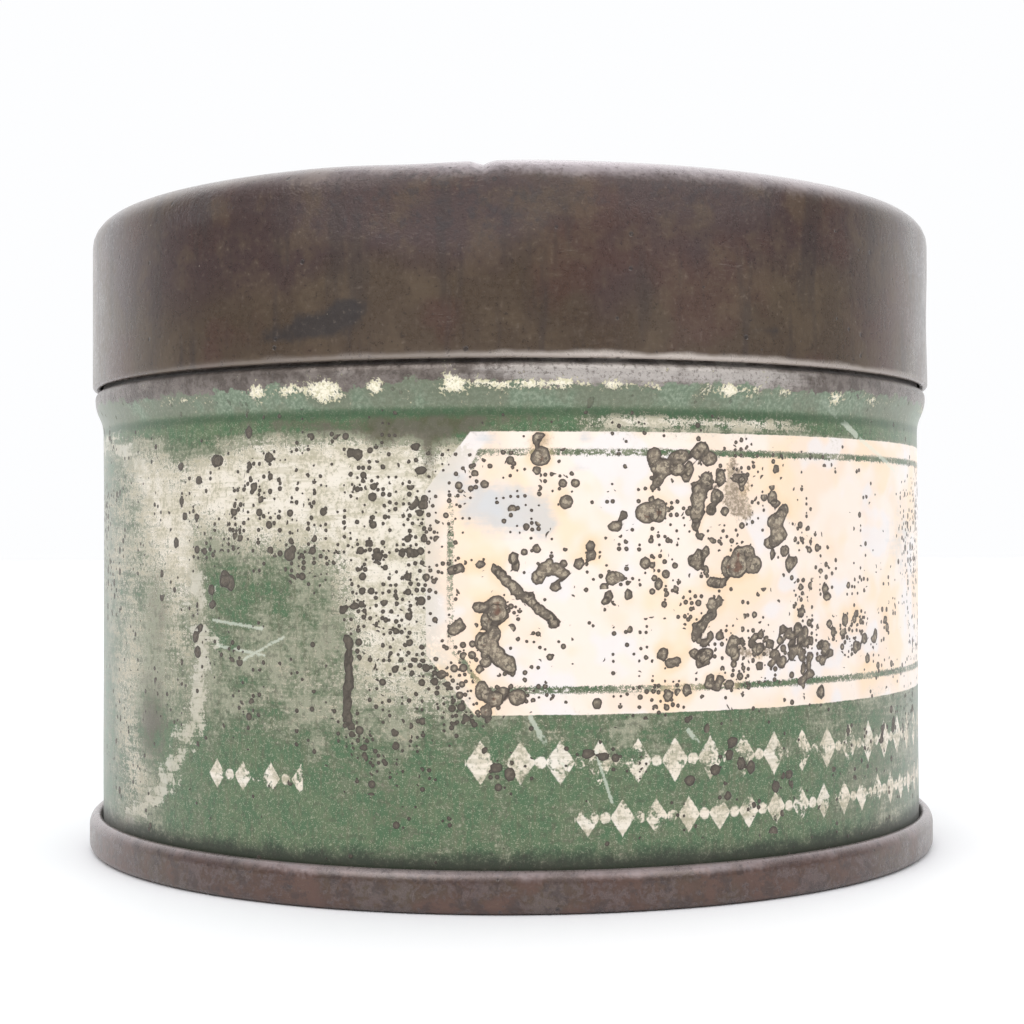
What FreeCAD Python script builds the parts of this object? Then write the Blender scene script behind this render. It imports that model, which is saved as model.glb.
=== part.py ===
import FreeCAD, Part
import math
import os

# A round slip-lid polish tin, in millimetres, with +Z up and the origin at the middle of its rest face.
# The body is one strip of tinplate, rolled into a tube and locked along a side seam at the back (+Y).
# A bead rolled round it stops the lid, and the mouth above the bead is curled inwards.
# The bottom end is hooked onto the body's flange in a double seam, the lid is one drawn shell with a
# folded hem, a card liner lies under the lid's top, and a cake of polish, hollowed by use, fills the body.
# Every piece of sheet is drawn as its own section: straight runs and round bends of one thickness.

# Overall sizes
body_radius = 36.8          # outside of the straight body wall
total_height = 54.9         # rest face to the lid's top, closed
lid_height = 14.7           # the hem's lower edge to the lid's top
sheet = 0.30                # tinplate thickness, all three sheet pieces

# Lid
lid_corner = 2.2            # outside radius of the lid's shoulder
lid_fit = 0.25              # radial play of the hem on the neck
hem_height = 2.4            # how far the hem is folded up inside the skirt
hem_gap = 0.10              # space left inside the fold
top_step = 0.35             # how far the lid's middle panel is sunk
top_step_radius = 31.0      # outer edge of the sunk panel
top_step_width = 1.2        # width of the slope round the panel

# Liner under the lid
liner_thickness = 0.7
liner_play = 0.10           # over it and under it
liner_edge_gap = 1.2        # from its edge to the inside of the lid's skirt

# Body
bead_rise = 0.70            # how far the stop bead stands out from the wall
bead_flank = 3.0            # height of the bead's long lower flank
bead_shoulder = 1.0         # height of its short upper flank
stop_gap = 0.30             # between the closed lid's hem and the bead
curl_radius = 0.90          # outside radius of the curl round the mouth

# Double seam round the bottom
seam_height = 3.15
seam_play = 0.10            # between neighbouring layers of the seam
rest_width = 0.50           # width of the flat ring that the tin stands on
shoulder_radius = 1.0       # sheet's middle, where the seam's outside turns in
shoulder_turn = 50.0        # degrees
countersink = 3.0           # rest face to the underside of the bottom panel
panel_bend = 0.8            # sheet's middle, where the panel turns down into the seam
panel_step = 0.50           # how far the middle of the panel is raised
panel_step_radius = 27.0
panel_step_width = 1.6
compound_height = 0.35      # the sealing compound in the seam's upper fold
compound_play = 0.04

# Lock seam up the back of the body
lock_width = 3.0            # overlap of the two hooks
lock_play = 0.03            # between neighbouring layers
lock_groove = 0.25          # between the outer hook and the step beside it
lock_step_bend = 0.50       # sheet's middle, in the step under the outer hook
lock_end_gap = 0.9          # plain wall left between the lock and the double seam or the bead
solder_play = 0.01          # between the solder and the sheets, less than half of lock_play
solder_sink = 0.06          # how far the solder lies below the wall's outside

# Polish
fill_height = 33.0          # rest face to the cake's unused rim
polish_shrink = 0.15        # the dried cake is clear of the wall by this
polish_seat = 0.05          # over the bottom panel
hollow_depth = 9.0          # the hollow worn by the brush
hollow_radius = 45.0
hollow_offset = (5.0, -4.0)

# Places that follow from the sizes above
wall_mid = body_radius - sheet / 2
chuck_mid = body_radius - sheet - seam_play - sheet / 2
cover_hook_mid = body_radius + seam_play + sheet / 2
body_hook_mid = cover_hook_mid + sheet + seam_play
seam_outer_mid = body_hook_mid + sheet + seam_play

seam_base_bend = (seam_outer_mid - chuck_mid - rest_width) / 2
body_hook_bend = (body_hook_mid - wall_mid) / 2
body_hook_centre = sheet + seam_play + body_hook_bend + sheet / 2
turn = math.radians(shoulder_turn)
fold_bend = ((seam_outer_mid - cover_hook_mid) - shoulder_radius * (1 - math.cos(turn))) / (1 + math.cos(turn))
shoulder_start = seam_height - sheet / 2 - shoulder_radius * math.sin(turn) - fold_bend * (1 - math.sin(turn))
fold_centre = shoulder_start + (shoulder_radius - fold_bend) * math.sin(turn)
body_hook_tip = shoulder_start - seam_play / 2

hem_bend = (sheet + hem_gap) / 2
hem_foot = hem_bend + sheet / 2                     # outside radius of the hem's fold
hem_mid = body_radius + lid_fit + hem_foot          # middle of the folded hem
lid_radius = hem_mid + hem_foot
skirt_mid = lid_radius - sheet / 2
hem_bottom = total_height - lid_height

liner_top = total_height - sheet - top_step - liner_play
liner_bottom = liner_top - liner_thickness
mouth_top = liner_bottom - liner_play
liner_radius = lid_radius - sheet - liner_edge_gap

lock_pitch = sheet + lock_play                      # from one layer of the lock seam to the next
lock_bottom = seam_height + lock_end_gap


def standing(radius, height):
    return FreeCAD.Vector(radius, 0, height)


def lying(x, y):
    return FreeCAD.Vector(x, y, 0)


def bent_strip(start, heading, moves, thickness, place):
    """The section of a strip of sheet, as one face.

    It follows the middle of the sheet from start, heading that many degrees from the first axis towards
    the second. A move is the length of a straight run, or (radius, degrees) for a bend, positive to the left.
    """
    half = thickness / 2
    edges = {half: [], -half: []}
    x, y = start
    angle = math.radians(heading)

    def beside(centre_x, centre_y, reach, towards):
        return place(centre_x + reach * math.cos(towards), centre_y + reach * math.sin(towards))

    for move in moves:
        left = angle + math.pi / 2
        if isinstance(move, tuple):
            radius, degrees = move
            bend = math.radians(degrees)
            side = math.copysign(1.0, bend)
            centre_x = x + side * radius * math.cos(left)
            centre_y = y + side * radius * math.sin(left)
            out = left + math.pi if side > 0 else left
            for offset, made in edges.items():
                reach = radius - side * offset
                ends = [beside(centre_x, centre_y, reach, out + share * bend) for share in (0.0, 0.5, 1.0)]
                made.append(Part.Arc(*ends).toShape())
            x = centre_x + radius * math.cos(out + bend)
            y = centre_y + radius * math.sin(out + bend)
            angle += bend
        elif move > 0:
            next_x = x + move * math.cos(angle)
            next_y = y + move * math.sin(angle)
            for offset, made in edges.items():
                made.append(Part.makeLine(beside(x, y, offset, left), beside(next_x, next_y, offset, left)))
            x, y = next_x, next_y
    caps = [
        Part.makeLine(edges[half][at].Vertexes[at].Point, edges[-half][at].Vertexes[at].Point)
        for at in (0, -1)
        if (edges[half][at].Vertexes[at].Point - edges[-half][at].Vertexes[at].Point).Length > 1e-6
    ]
    outline = Part.__sortEdges__(edges[half] + edges[-half] + caps)
    return Part.Face(Part.Wire(outline))


def revolved(section):
    return section.revolve(FreeCAD.Vector(0, 0, 0), FreeCAD.Vector(0, 0, 1), 360)


def raised(section, bottom, top):
    section.translate(FreeCAD.Vector(0, 0, bottom))
    return section.extrude(FreeCAD.Vector(0, 0, top - bottom))


def offset_bends(rise, run):
    """Radius and turn, in degrees, of the two equal bends that move a strip sideways by rise along run."""
    radius = (rise ** 2 + run ** 2) / (4 * rise)
    return radius, math.degrees(2 * math.atan2(rise, run))


# The bead's bends, and the height of its crest, which leaves stop_gap to the closed lid's hem
flank_bend, flank_turn = offset_bends(bead_rise, bead_flank)
upper_bend, upper_turn = offset_bends(bead_rise, bead_shoulder)
bead_reach = upper_bend + sheet / 2
bead_to_hem = bead_reach + hem_foot + stop_gap
bead_to_hem_across = hem_mid - (body_radius + bead_rise - bead_reach)
crest = hem_bottom + hem_foot - math.sqrt(bead_to_hem ** 2 - bead_to_hem_across ** 2)
bead_bottom = crest - bead_flank
lock_top = bead_bottom - lock_end_gap


def lock_section(thickness):
    """The body's section through the lock seam, seen from above, with the seam at +Y.

    Its layers are numbered inwards from the wall: the outer hook is 0 and 2, the inner hook 3 and 1.
    """
    radius = [wall_mid - layer * lock_pitch for layer in range(4)]
    half_width = math.degrees(lock_width / 2 / wall_mid)
    tip = math.degrees((lock_pitch - lock_play) / wall_mid)

    # The step from layer 0 to layer 3 is two equal bends, tangent to both circles and to each other
    from_centre = radius[0] - lock_step_bend
    to_centre = radius[3] + lock_step_bend
    between = 2 * lock_step_bend
    step_angle = math.acos((from_centre ** 2 + to_centre ** 2 - between ** 2) / (2 * from_centre * to_centre))
    second = math.acos((to_centre ** 2 + between ** 2 - from_centre ** 2) / (2 * to_centre * between))
    step_angle, second = math.degrees(step_angle), math.degrees(second)
    groove = math.degrees(lock_groove / wall_mid)

    start_angle = 90 + half_width - tip
    start = (radius[2] * math.cos(math.radians(start_angle)), radius[2] * math.sin(math.radians(start_angle)))
    moves = [
        (radius[2], -(2 * half_width - tip)),
        (lock_pitch, 180),
        (radius[0], 360 - groove - step_angle),
        (lock_step_bend, second + step_angle),
        (lock_step_bend, -second),
        (radius[3], groove + 2 * half_width),
        (lock_pitch, -180),
        (radius[1], -(2 * half_width - tip)),
    ]
    return bent_strip(start, start_angle - 90, moves, thickness, lying)


def lock_groove_section():
    """The groove beside the outer hook, up to just below the wall's outside, where the solder lies."""
    reach = math.degrees((lock_groove + 2 * lock_step_bend + lock_pitch) / wall_mid)
    hook = 90 - math.degrees(lock_width / 2 / wall_mid)
    inner, outer = wall_mid - lock_pitch, body_radius - solder_sink

    def at(radius, degrees):
        return lying(radius * math.cos(math.radians(degrees)), radius * math.sin(math.radians(degrees)))

    edges = [
        Part.Arc(*[at(outer, hook - share * reach) for share in (0, 0.5, 1)]).toShape(),
        Part.makeLine(at(outer, hook - reach), at(inner, hook - reach)),
        Part.Arc(*[at(inner, hook - share * reach) for share in (1, 0.5, 0)]).toShape(),
        Part.makeLine(at(inner, hook), at(outer, hook)),
    ]
    sector = Part.Face(Part.Wire(edges))
    left = sector.cut(lock_section(sheet + 2 * solder_play))
    return max(left.Faces, key=lambda face: face.Area)


def body_wall():
    """Seam flange, tube with its lock seam, stop bead, neck and mouth curl, in one sheet."""
    lower = bent_strip(
        (body_hook_mid, body_hook_tip), -90,
        [body_hook_tip - body_hook_centre, (body_hook_bend, -180), lock_bottom - body_hook_centre],
        sheet, standing,
    )
    neck_top = mouth_top - curl_radius
    upper = bent_strip(
        (wall_mid, lock_top), 90,
        [
            bead_bottom - lock_top,
            (flank_bend, -flank_turn), (flank_bend, flank_turn),
            (upper_bend, upper_turn), (upper_bend, -upper_turn),
            neck_top - crest - bead_shoulder,
            (curl_radius - sheet / 2, 270),
        ],
        sheet, standing,
    )
    tube = raised(lock_section(sheet), lock_bottom, lock_top)
    return revolved(lower).fuse([tube, revolved(upper)]).removeSplitter()


def side_seam_solder():
    return raised(lock_groove_section(), lock_bottom, lock_top)


def bottom_end():
    """Raised panel, chuck wall inside the body, rest ring, and the cover hook round the body's flange."""
    step_bend, step_turn = offset_bends(panel_step, panel_step_width)
    panel_edge = chuck_mid - panel_bend
    section = bent_strip(
        (0, countersink + sheet / 2 + panel_step), 0,
        [
            panel_step_radius,
            (step_bend, -step_turn), (step_bend, step_turn),
            panel_edge - panel_step_radius - panel_step_width,
            (panel_bend, -90),
            countersink - panel_bend - seam_base_bend,
            (seam_base_bend, 90), rest_width, (seam_base_bend, 90),
            shoulder_start - seam_base_bend - sheet / 2,
            (shoulder_radius, shoulder_turn), (fold_bend, 180 - shoulder_turn),
            fold_centre - body_hook_centre,
        ],
        sheet, standing,
    )
    return revolved(section)


def bottom_seam_compound():
    """A ring of sealing compound above the body hook, in the top fold of the double seam."""
    inner = cover_hook_mid + sheet / 2 + compound_play
    outer = body_hook_mid + sheet / 2 - compound_play
    bottom = body_hook_tip + compound_play
    ring = Part.makeCylinder(outer, compound_height, standing(0, bottom))
    return ring.cut(Part.makeCylinder(inner, compound_height, standing(0, bottom)))


def polish_cake():
    """Dried polish cast on the bottom panel, clear of the lock seam, with a hollow worn in its top."""
    low = countersink + sheet + polish_seat
    radius = body_radius - sheet - polish_shrink
    step_edge = panel_step_radius + panel_step_width + polish_seat
    cake = Part.makeCylinder(radius, fill_height - low, standing(0, low))
    panel = Part.makeCylinder(step_edge, panel_step, standing(0, low))
    lock_depth = 3 * lock_pitch + sheet + polish_shrink
    lock_clear = lock_width / 2 + lock_groove + 2 * lock_step_bend + lock_pitch + polish_shrink
    lock = Part.makeBox(
        2 * lock_clear, 2 * lock_depth, fill_height,
        FreeCAD.Vector(-lock_clear, body_radius - lock_depth, 0),
    )
    centre = FreeCAD.Vector(*hollow_offset, fill_height + hollow_radius - hollow_depth)
    return cake.cut([panel, lock, Part.makeSphere(hollow_radius, centre)])


def lid_liner():
    return Part.makeCylinder(liner_radius, liner_thickness, standing(0, liner_bottom))


def lid_shell():
    """Sunk top panel, shoulder, skirt and folded hem, drawn from one sheet."""
    step_bend, step_turn = offset_bends(top_step, top_step_width)
    corner = lid_corner - sheet / 2
    step_start = top_step_radius - top_step_width
    section = bent_strip(
        (0, total_height - sheet / 2 - top_step), 0,
        [
            step_start,
            (step_bend, step_turn), (step_bend, -step_turn),
            skirt_mid - corner - top_step_radius,
            (corner, -90),
            lid_height - lid_corner - hem_foot,
            (hem_bend, -180),
            hem_height - hem_foot,
        ],
        sheet, standing,
    )
    return revolved(section)


nodes = {
    "body_wall": body_wall,
    "side_seam_solder": side_seam_solder,
    "bottom_end": bottom_end,
    "bottom_seam_compound": bottom_seam_compound,
    "polish_cake": polish_cake,
    "lid_liner": lid_liner,
    "lid_shell": lid_shell,
}

os.makedirs("parts", exist_ok=True)
for name, build in nodes.items():
    shape = build()
    if len(shape.Solids) != 1 or not shape.isValid():
        raise ValueError(f"{name} isn't one valid solid")
    shape.Solids[0].exportStep(f"parts/{name}.step")
    box = shape.BoundBox
    print(f"{name}: {shape.Volume:.1f} mm3, z {box.ZMin:.3f} to {box.ZMax:.3f}, radius {box.XMax:.3f}")
print(f"crest {crest:.3f}, lock {lock_bottom:.2f} to {lock_top:.2f}, liner radius {liner_radius:.2f}")
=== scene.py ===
import bmesh
import bpy
import numpy as np
from math import ceil, pi, radians
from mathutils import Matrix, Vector


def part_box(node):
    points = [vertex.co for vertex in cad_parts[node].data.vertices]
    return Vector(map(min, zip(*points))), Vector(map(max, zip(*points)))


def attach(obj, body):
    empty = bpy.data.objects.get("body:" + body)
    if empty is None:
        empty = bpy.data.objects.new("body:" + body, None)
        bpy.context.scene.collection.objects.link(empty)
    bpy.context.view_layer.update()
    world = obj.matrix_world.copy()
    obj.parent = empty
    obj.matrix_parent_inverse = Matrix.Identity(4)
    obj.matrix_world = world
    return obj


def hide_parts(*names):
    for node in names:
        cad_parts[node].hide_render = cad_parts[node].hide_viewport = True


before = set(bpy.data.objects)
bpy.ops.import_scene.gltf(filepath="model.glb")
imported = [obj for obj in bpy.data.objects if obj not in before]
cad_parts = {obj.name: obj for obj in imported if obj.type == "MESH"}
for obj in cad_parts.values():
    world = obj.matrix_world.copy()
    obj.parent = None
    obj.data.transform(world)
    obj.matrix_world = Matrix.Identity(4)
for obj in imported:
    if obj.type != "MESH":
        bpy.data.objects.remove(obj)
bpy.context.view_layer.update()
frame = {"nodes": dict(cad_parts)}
print("frame loaded:", ", ".join(frame["nodes"]))

mm = 0.001                    # the shapes below are worked out in millimetres


def highest(node, axis):
    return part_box(node)[1][axis] / mm


def lowest(node, axis):
    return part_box(node)[0][axis] / mm


sheet = 0.30                                    # tinplate thickness
rimRadius = highest("bottom_end", 0)            # outside of the double seam
lidRadius = highest("lid_shell", 0)
lidTop = highest("lid_shell", 2)
hemBottom = lowest("lid_shell", 2)
mouthTop = highest("body_wall", 2)
seamPlay = 0.10
wallRadius = rimRadius - 3 * (sheet + seamPlay)  # outside of the straight body wall


def bentPath(start, heading, moves, steps):
    # Points and left-hand normals along straight runs and tangent round bends, in radius and height.
    # A move is a length, or (radius, degrees) with a turn to the left positive. steps is the distance
    # between points, one for the whole path or one for each move.
    place = np.array(start, float)
    angle = radians(heading)
    points, normals = [], []
    for move, step in zip(moves, np.broadcast_to(steps, len(moves))):
        left = angle + pi / 2
        if isinstance(move, tuple):
            radius, turn = move[0], radians(move[1])
            side = np.sign(turn)
            centre = place + side * radius * np.array([np.cos(left), np.sin(left)])
            pieces = max(4, ceil(abs(turn) / radians(15)), ceil(abs(turn) * radius / step))
            swept = turn * np.arange(pieces + 1) / pieces
            out = left + (pi if side > 0 else 0) + swept
            run = centre + radius * np.stack([np.cos(out), np.sin(out)], axis=1)
            angle += turn
            facing = left + swept
        else:
            pieces = max(1, ceil(move / step))
            along = move * np.arange(pieces + 1) / pieces
            run = place + along[:, None] * np.array([np.cos(angle), np.sin(angle)])
            facing = np.full(pieces + 1, left)
        points.append(run[:-1])
        normals.append(np.stack([np.cos(facing), np.sin(facing)], axis=1)[:-1])
        place = run[-1]
    end = np.array([[np.cos(angle + pi / 2), np.sin(angle + pi / 2)]])
    return np.vstack(points + [place[None, :]]), np.vstack(normals + [end])


def stripOutline(start, heading, moves, outerStep, innerStep):
    # Both sides of a strip of sheet: half the sheet to the left of its middle, then back along the right
    points, normals = bentPath(start, heading, moves, outerStep)
    leftSide = points + normals * sheet / 2
    points, normals = bentPath(start, heading, moves, innerStep)
    rightSide = points - normals * sheet / 2
    return np.vstack([leftSide, rightSide[::-1]])


def spin(name, outline, angles, shape=None, onAxis=False):
    # Point (i, j) is outline point i turned by angle j about +Z, with angle 0 at -Y and growing towards +X.
    # shape moves the grid: it takes and gives radius, angle and height. onAxis joins each end in one pole.
    radius = np.repeat(outline[:, :1], len(angles), axis=1)
    height = np.repeat(outline[:, 1:], len(angles), axis=1)
    turned = np.repeat(angles[None, :], len(outline), axis=0)
    if shape:
        radius, turned, height = shape(radius, turned, height)
    if onAxis:
        radius[[0, -1]] = 0.0
        height[0], height[-1] = height[0].mean(), height[-1].mean()
    rows, columns = radius.shape
    grid = np.stack([radius * np.sin(turned), -radius * np.cos(turned), height], axis=2) * mm

    i, j = np.meshgrid(np.arange(rows if not onAxis else rows - 1), np.arange(columns), indexing="ij")
    i, j = i.ravel(), j.ravel()
    nextRow, nextColumn = (i + 1) % rows, (j + 1) % columns
    corners = np.stack([i * columns + j, i * columns + nextColumn,
                        nextRow * columns + nextColumn, nextRow * columns + j], axis=1)
    # The strip map unrolls the surface: distance round from the front and height, both in millimetres
    unrolled = np.append(angles, angles[0] + 2 * pi) * wallRadius
    strip = np.stack([
        np.stack([unrolled[j], unrolled[j + 1], unrolled[j + 1], unrolled[j]], axis=1),
        np.stack([height[i, j], height[i, nextColumn],
                  height[nextRow, nextColumn], height[nextRow, j]], axis=1),
    ], axis=2)

    points = grid.reshape(-1, 3)
    first = points[corners]
    volume = np.einsum("ij,ij->", np.cross(first[:, 0], first[:, 1]), first[:, 2])
    volume += np.einsum("ij,ij->", np.cross(first[:, 0], first[:, 2]), first[:, 3])
    if volume < 0:
        corners, strip = corners[:, ::-1], strip[:, ::-1]

    mesh = bpy.data.meshes.new(name)
    mesh.vertices.add(len(points))
    mesh.vertices.foreach_set("co", points.ravel())
    mesh.loops.add(corners.size)
    mesh.loops.foreach_set("vertex_index", corners.ravel().astype(np.int32))
    mesh.polygons.add(len(corners))
    mesh.polygons.foreach_set("loop_start", np.arange(0, corners.size, 4, dtype=np.int32))
    mesh.uv_layers.new(name="strip").data.foreach_set("uv", strip.ravel())
    mesh.update(calc_edges=True)
    piece = bpy.data.objects.new(name, mesh)
    bpy.context.scene.collection.objects.link(piece)
    return piece, radius, turned, height


def roundAngles(columns):
    # Equal steps once round, from the back and without the last one, which would double the first
    return np.linspace(-pi, pi, columns, endpoint=False)


def finishPiece(piece, material, body, *nodes, slot):
    # Joins the doubled points at the poles, smooths the surface, gives it its material, hangs it under its
    # body and hides the nodes it replaces
    cleaned = bmesh.new()
    cleaned.from_mesh(piece.data)
    bmesh.ops.remove_doubles(cleaned, verts=cleaned.verts, dist=1e-7)
    bmesh.ops.dissolve_degenerate(cleaned, edges=cleaned.edges, dist=1e-7)
    cleaned.to_mesh(piece.data)
    cleaned.free()
    piece.data.shade_smooth()
    piece.data.set_sharp_from_angle(angle=radians(50))
    piece.data.materials.append(material)
    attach(piece, body)
    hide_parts(*nodes)
    print(piece.name, len(piece.data.polygons), "faces")


def paintOn(piece, name, values):
    # Stores one number per point, which the material reads by name
    piece.data.attributes.new(name, "FLOAT", "POINT").data.foreach_set("value", values.ravel())


def ripple(around, height, waves, seed):
    # A smooth uneven field: waves sines with whole turns round the tin and random slopes up it
    random = np.random.default_rng(seed)
    total = np.zeros_like(around)
    for turns in range(1, waves + 1):
        slope, phase = random.uniform(-0.12, 0.12), random.uniform(0, 2 * pi)
        total += np.sin(turns * around + slope * height + phase) / turns ** 0.7
    return total / waves ** 0.5


def patches(around, height, table):
    # A sum of soft round patches, each with its place round, height, reach round, reach up and strength
    total = np.zeros_like(around)
    for middle, level, wide, tall, strength in table:
        total += strength * np.exp(-((around - middle) / wide) ** 2 - ((height - level) / tall) ** 2)
    return total


def paint(code):
    # A colour as mixed on a screen, such as "5b7a55", turned into linear light
    parts = np.array([int(code[at:at + 2], 16) / 255 for at in (0, 2, 4)])
    linear = np.where(parts <= 0.04045, parts / 12.92, ((parts + 0.055) / 1.055) ** 2.4)
    return (*linear, 1.0)


class Amount:
    # A number that nodes work out at each point of a surface. Sums and the calls below add math nodes.
    def __init__(self, tree, socket):
        self.tree, self.socket = tree, socket

    def math(self, operation, *others):
        node = self.tree.nodes.new("ShaderNodeMath")
        node.operation = operation
        for place, value in enumerate((self,) + others):
            if isinstance(value, Amount):
                self.tree.links.new(value.socket, node.inputs[place])
            else:
                node.inputs[place].default_value = value
        return Amount(self.tree, node.outputs[0])

    def __add__(self, other):
        return self.math("ADD", other)

    def __sub__(self, other):
        return self.math("SUBTRACT", other)

    def __mul__(self, other):
        return self.math("MULTIPLY", other)

    def __truediv__(self, other):
        return self.math("DIVIDE", other)

    def __rsub__(self, other):
        return self * -1.0 + other

    __radd__, __rmul__ = __add__, __mul__

    def size(self):
        return self.math("ABSOLUTE")

    def least(self, *others):
        result = self
        for other in others:
            result = result.math("MINIMUM", other)
        return result

    def most(self, *others):
        result = self
        for other in others:
            result = result.math("MAXIMUM", other)
        return result

    def repeat(self, pitch):
        # Distance from the middle of the nearest of many equal steps, signed
        return self.math("WRAP", pitch / 2, -pitch / 2)

    def rise(self, low, high):
        # 0 below low, 1 above high, and a smooth step between
        node = self.tree.nodes.new("ShaderNodeMapRange")
        node.interpolation_type = "SMOOTHSTEP"
        for place, value in ((0, self), (1, low), (2, high)):
            if isinstance(value, Amount):
                self.tree.links.new(value.socket, node.inputs[place])
            else:
                node.inputs[place].default_value = value
        return Amount(self.tree, node.outputs[0])

    def fall(self, low, high):
        return 1.0 - self.rise(low, high)


class Finish:
    # One material: its shader, the places that its patterns are read at, and the patterns
    def __init__(self, name, **fixed):
        self.material = bpy.data.materials.new(name)
        self.material.use_nodes = True
        self.tree = self.material.node_tree
        self.shader = self.tree.nodes["Principled BSDF"]
        for socket, value in fixed.items():
            self.shader.inputs[socket.replace("_", " ")].default_value = value
        self.room = "3D"
        coordinates = self.tree.nodes.new("ShaderNodeTexCoord")
        self.place = self.scaled(coordinates.outputs["Object"], (1 / mm,) * 3)

    def scaled(self, vector, factors):
        node = self.tree.nodes.new("ShaderNodeVectorMath")
        node.operation = "MULTIPLY"
        node.inputs[1].default_value = factors
        self.tree.links.new(vector, node.inputs[0])
        return node.outputs[0]

    def stripMap(self):
        # Distance round the tin from the front, and height, both in millimetres. Patterns follow them too.
        node = self.tree.nodes.new("ShaderNodeUVMap")
        node.uv_map = "strip"
        parts = self.tree.nodes.new("ShaderNodeSeparateXYZ")
        self.tree.links.new(node.outputs[0], parts.inputs[0])
        self.place, self.room = node.outputs[0], "2D"
        return Amount(self.tree, parts.outputs[0]), Amount(self.tree, parts.outputs[1])

    def axes(self):
        parts = self.tree.nodes.new("ShaderNodeSeparateXYZ")
        self.tree.links.new(self.place, parts.inputs[0])
        return [Amount(self.tree, parts.outputs[at]) for at in range(3)]

    def painted(self, name):
        node = self.tree.nodes.new("ShaderNodeAttribute")
        node.attribute_name = name
        return Amount(self.tree, node.outputs["Fac"])

    def noise(self, grain, detail=3.0, roughness=0.55, stretch=(1, 1, 1), twist=0.0):
        # A cloudy pattern from about 0.25 to 0.75, with lumps of about grain millimetres
        node = self.tree.nodes.new("ShaderNodeTexNoise")
        node.noise_dimensions = self.room
        self.tree.links.new(self.scaled(self.place, stretch), node.inputs["Vector"])
        node.inputs["Scale"].default_value = 1 / grain
        node.inputs["Detail"].default_value = detail
        node.inputs["Roughness"].default_value = roughness
        node.inputs["Distortion"].default_value = twist
        return Amount(self.tree, node.outputs[0])

    def cells(self, grain, feature="F1"):
        # Distance from the middle, or the edge, of scattered cells about grain wide, and two numbers per cell
        node = self.tree.nodes.new("ShaderNodeTexVoronoi")
        node.voronoi_dimensions = self.room
        node.feature = feature
        self.tree.links.new(self.place, node.inputs["Vector"])
        node.inputs["Scale"].default_value = 1 / grain
        node.inputs["Randomness"].default_value = 0.8
        away = Amount(self.tree, node.outputs["Distance"]) * grain
        if feature != "F1":
            return away
        parts = self.tree.nodes.new("ShaderNodeSeparateColor")
        self.tree.links.new(node.outputs["Color"], parts.inputs[0])
        return away, Amount(self.tree, parts.outputs[0]), Amount(self.tree, parts.outputs[1])

    def mix(self, amount, under, over):
        # One colour over another by an amount. A colour is a code such as "5b7a55", or another mix.
        node = self.tree.nodes.new("ShaderNodeMix")
        node.data_type = "RGBA"
        self.tree.links.new(amount.socket, node.inputs[0])
        for place, value in ((6, under), (7, over)):
            if isinstance(value, str):
                node.inputs[place].default_value = paint(value)
            else:
                self.tree.links.new(value, node.inputs[place])
        return node.outputs[2]

    def finish(self, colour, roughness, relief, metallic=None):
        # relief is in millimetres
        self.tree.links.new(colour, self.shader.inputs["Base Color"])
        self.tree.links.new(roughness.socket, self.shader.inputs["Roughness"])
        if metallic is not None:
            self.tree.links.new(metallic.socket, self.shader.inputs["Metallic"])
        bump = self.tree.nodes.new("ShaderNodeBump")
        bump.inputs["Distance"].default_value = mm
        self.tree.links.new(relief.socket, bump.inputs["Height"])
        self.tree.links.new(bump.outputs[0], self.shader.inputs["Normal"])
        return self.material


def segment(around, height, start, end):
    # Distance to a straight scratch: how far along it the nearest point is, held between its ends
    dx, dy = end[0] - start[0], end[1] - start[1]
    fromStartX, fromStartY = around - start[0], height - start[1]
    along = ((fromStartX * dx + fromStartY * dy) / (dx * dx + dy * dy)).most(0.0).least(1.0)
    sideX, sideY = fromStartX - along * dx, fromStartY - along * dy
    return (sideX * sideX + sideY * sideY).math("SQRT")


body = {
    "beadRise": 0.70, "beadFlank": 3.0, "beadShoulder": 1.0, "beadCrest": hemBottom - 0.848,
    "curlRadius": 0.90,
    "flangeHook": 0.50,         # sheet's middle, in the turn of the seam flange
    "flangeTip": 2.121, "flangeTurn": 0.95,
    "lockEnds": (4.05, 35.45),
    "frontReach": 62,           # degrees to each side of the front that have small faces
    "frontStep": 0.35, "neckStep": 0.9, "innerStep": 1.5, "backColumns": 118,
    "smallestBlister": 0.36,    # smaller ones are left to the material,
    "lastBlister": 38.0,        # and so are those further round than this
    "wobble": 0.05,             # how far the wall is out of round
}
panel = {
    "middle": 34.0, "halfWidth": 40.2, "top": 34.9, "bottom": 14.3,
    "topCut": (3.3, 4.3), "bottomCut": (3.6, 4.4),
    "line": (1.25, 1.72),       # how far in from the edge the thin line runs
}
backPrint = {
    "borderFrom": 84.0, "borderHeights": (33.6, 10.2),      # two plain lines at the back
    "bareFrom": 112.6,          # from here to the lock seam the sheet was left bare for the solder
}
medallion = {"middle": -45.7, "height": 19.0, "halfWidth": 20.0, "halfHeight": 16.3, "line": 0.9}
frieze = {      # height, first and last place round the tin, pitch, half width and half height of a lozenge
    "upper": (10.85, -2.2, 74.0, 2.9, 1.08, 1.62),
    "lower": (6.75, 5.6, 66.0, 2.6, 0.92, 1.36),
    "side": (9.2, -24.2, -16.0, 2.7, 0.85, 1.15),
}
scratchLines = [    # from, to, half width
    ((-24.6, 20.9), (-19.6, 20.4), 0.07), ((-24.2, 19.0), (-19.4, 18.4), 0.07),
    ((-21.4, 18.0), (-17.6, 19.8), 0.06), ((26.4, 37.6), (31.0, 35.2), 0.20),
    ((31.6, 34.9), (38.0, 32.6), 0.14), ((1.4, 14.2), (2.5, 12.3), 0.12), ((6.2, 11.6), (7.4, 7.9), 0.06),
    ((13.4, 12.9), (14.3, 11.8), 0.14), ((2.0, 12.8), (3.9, 10.6), 0.05),
]
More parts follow.
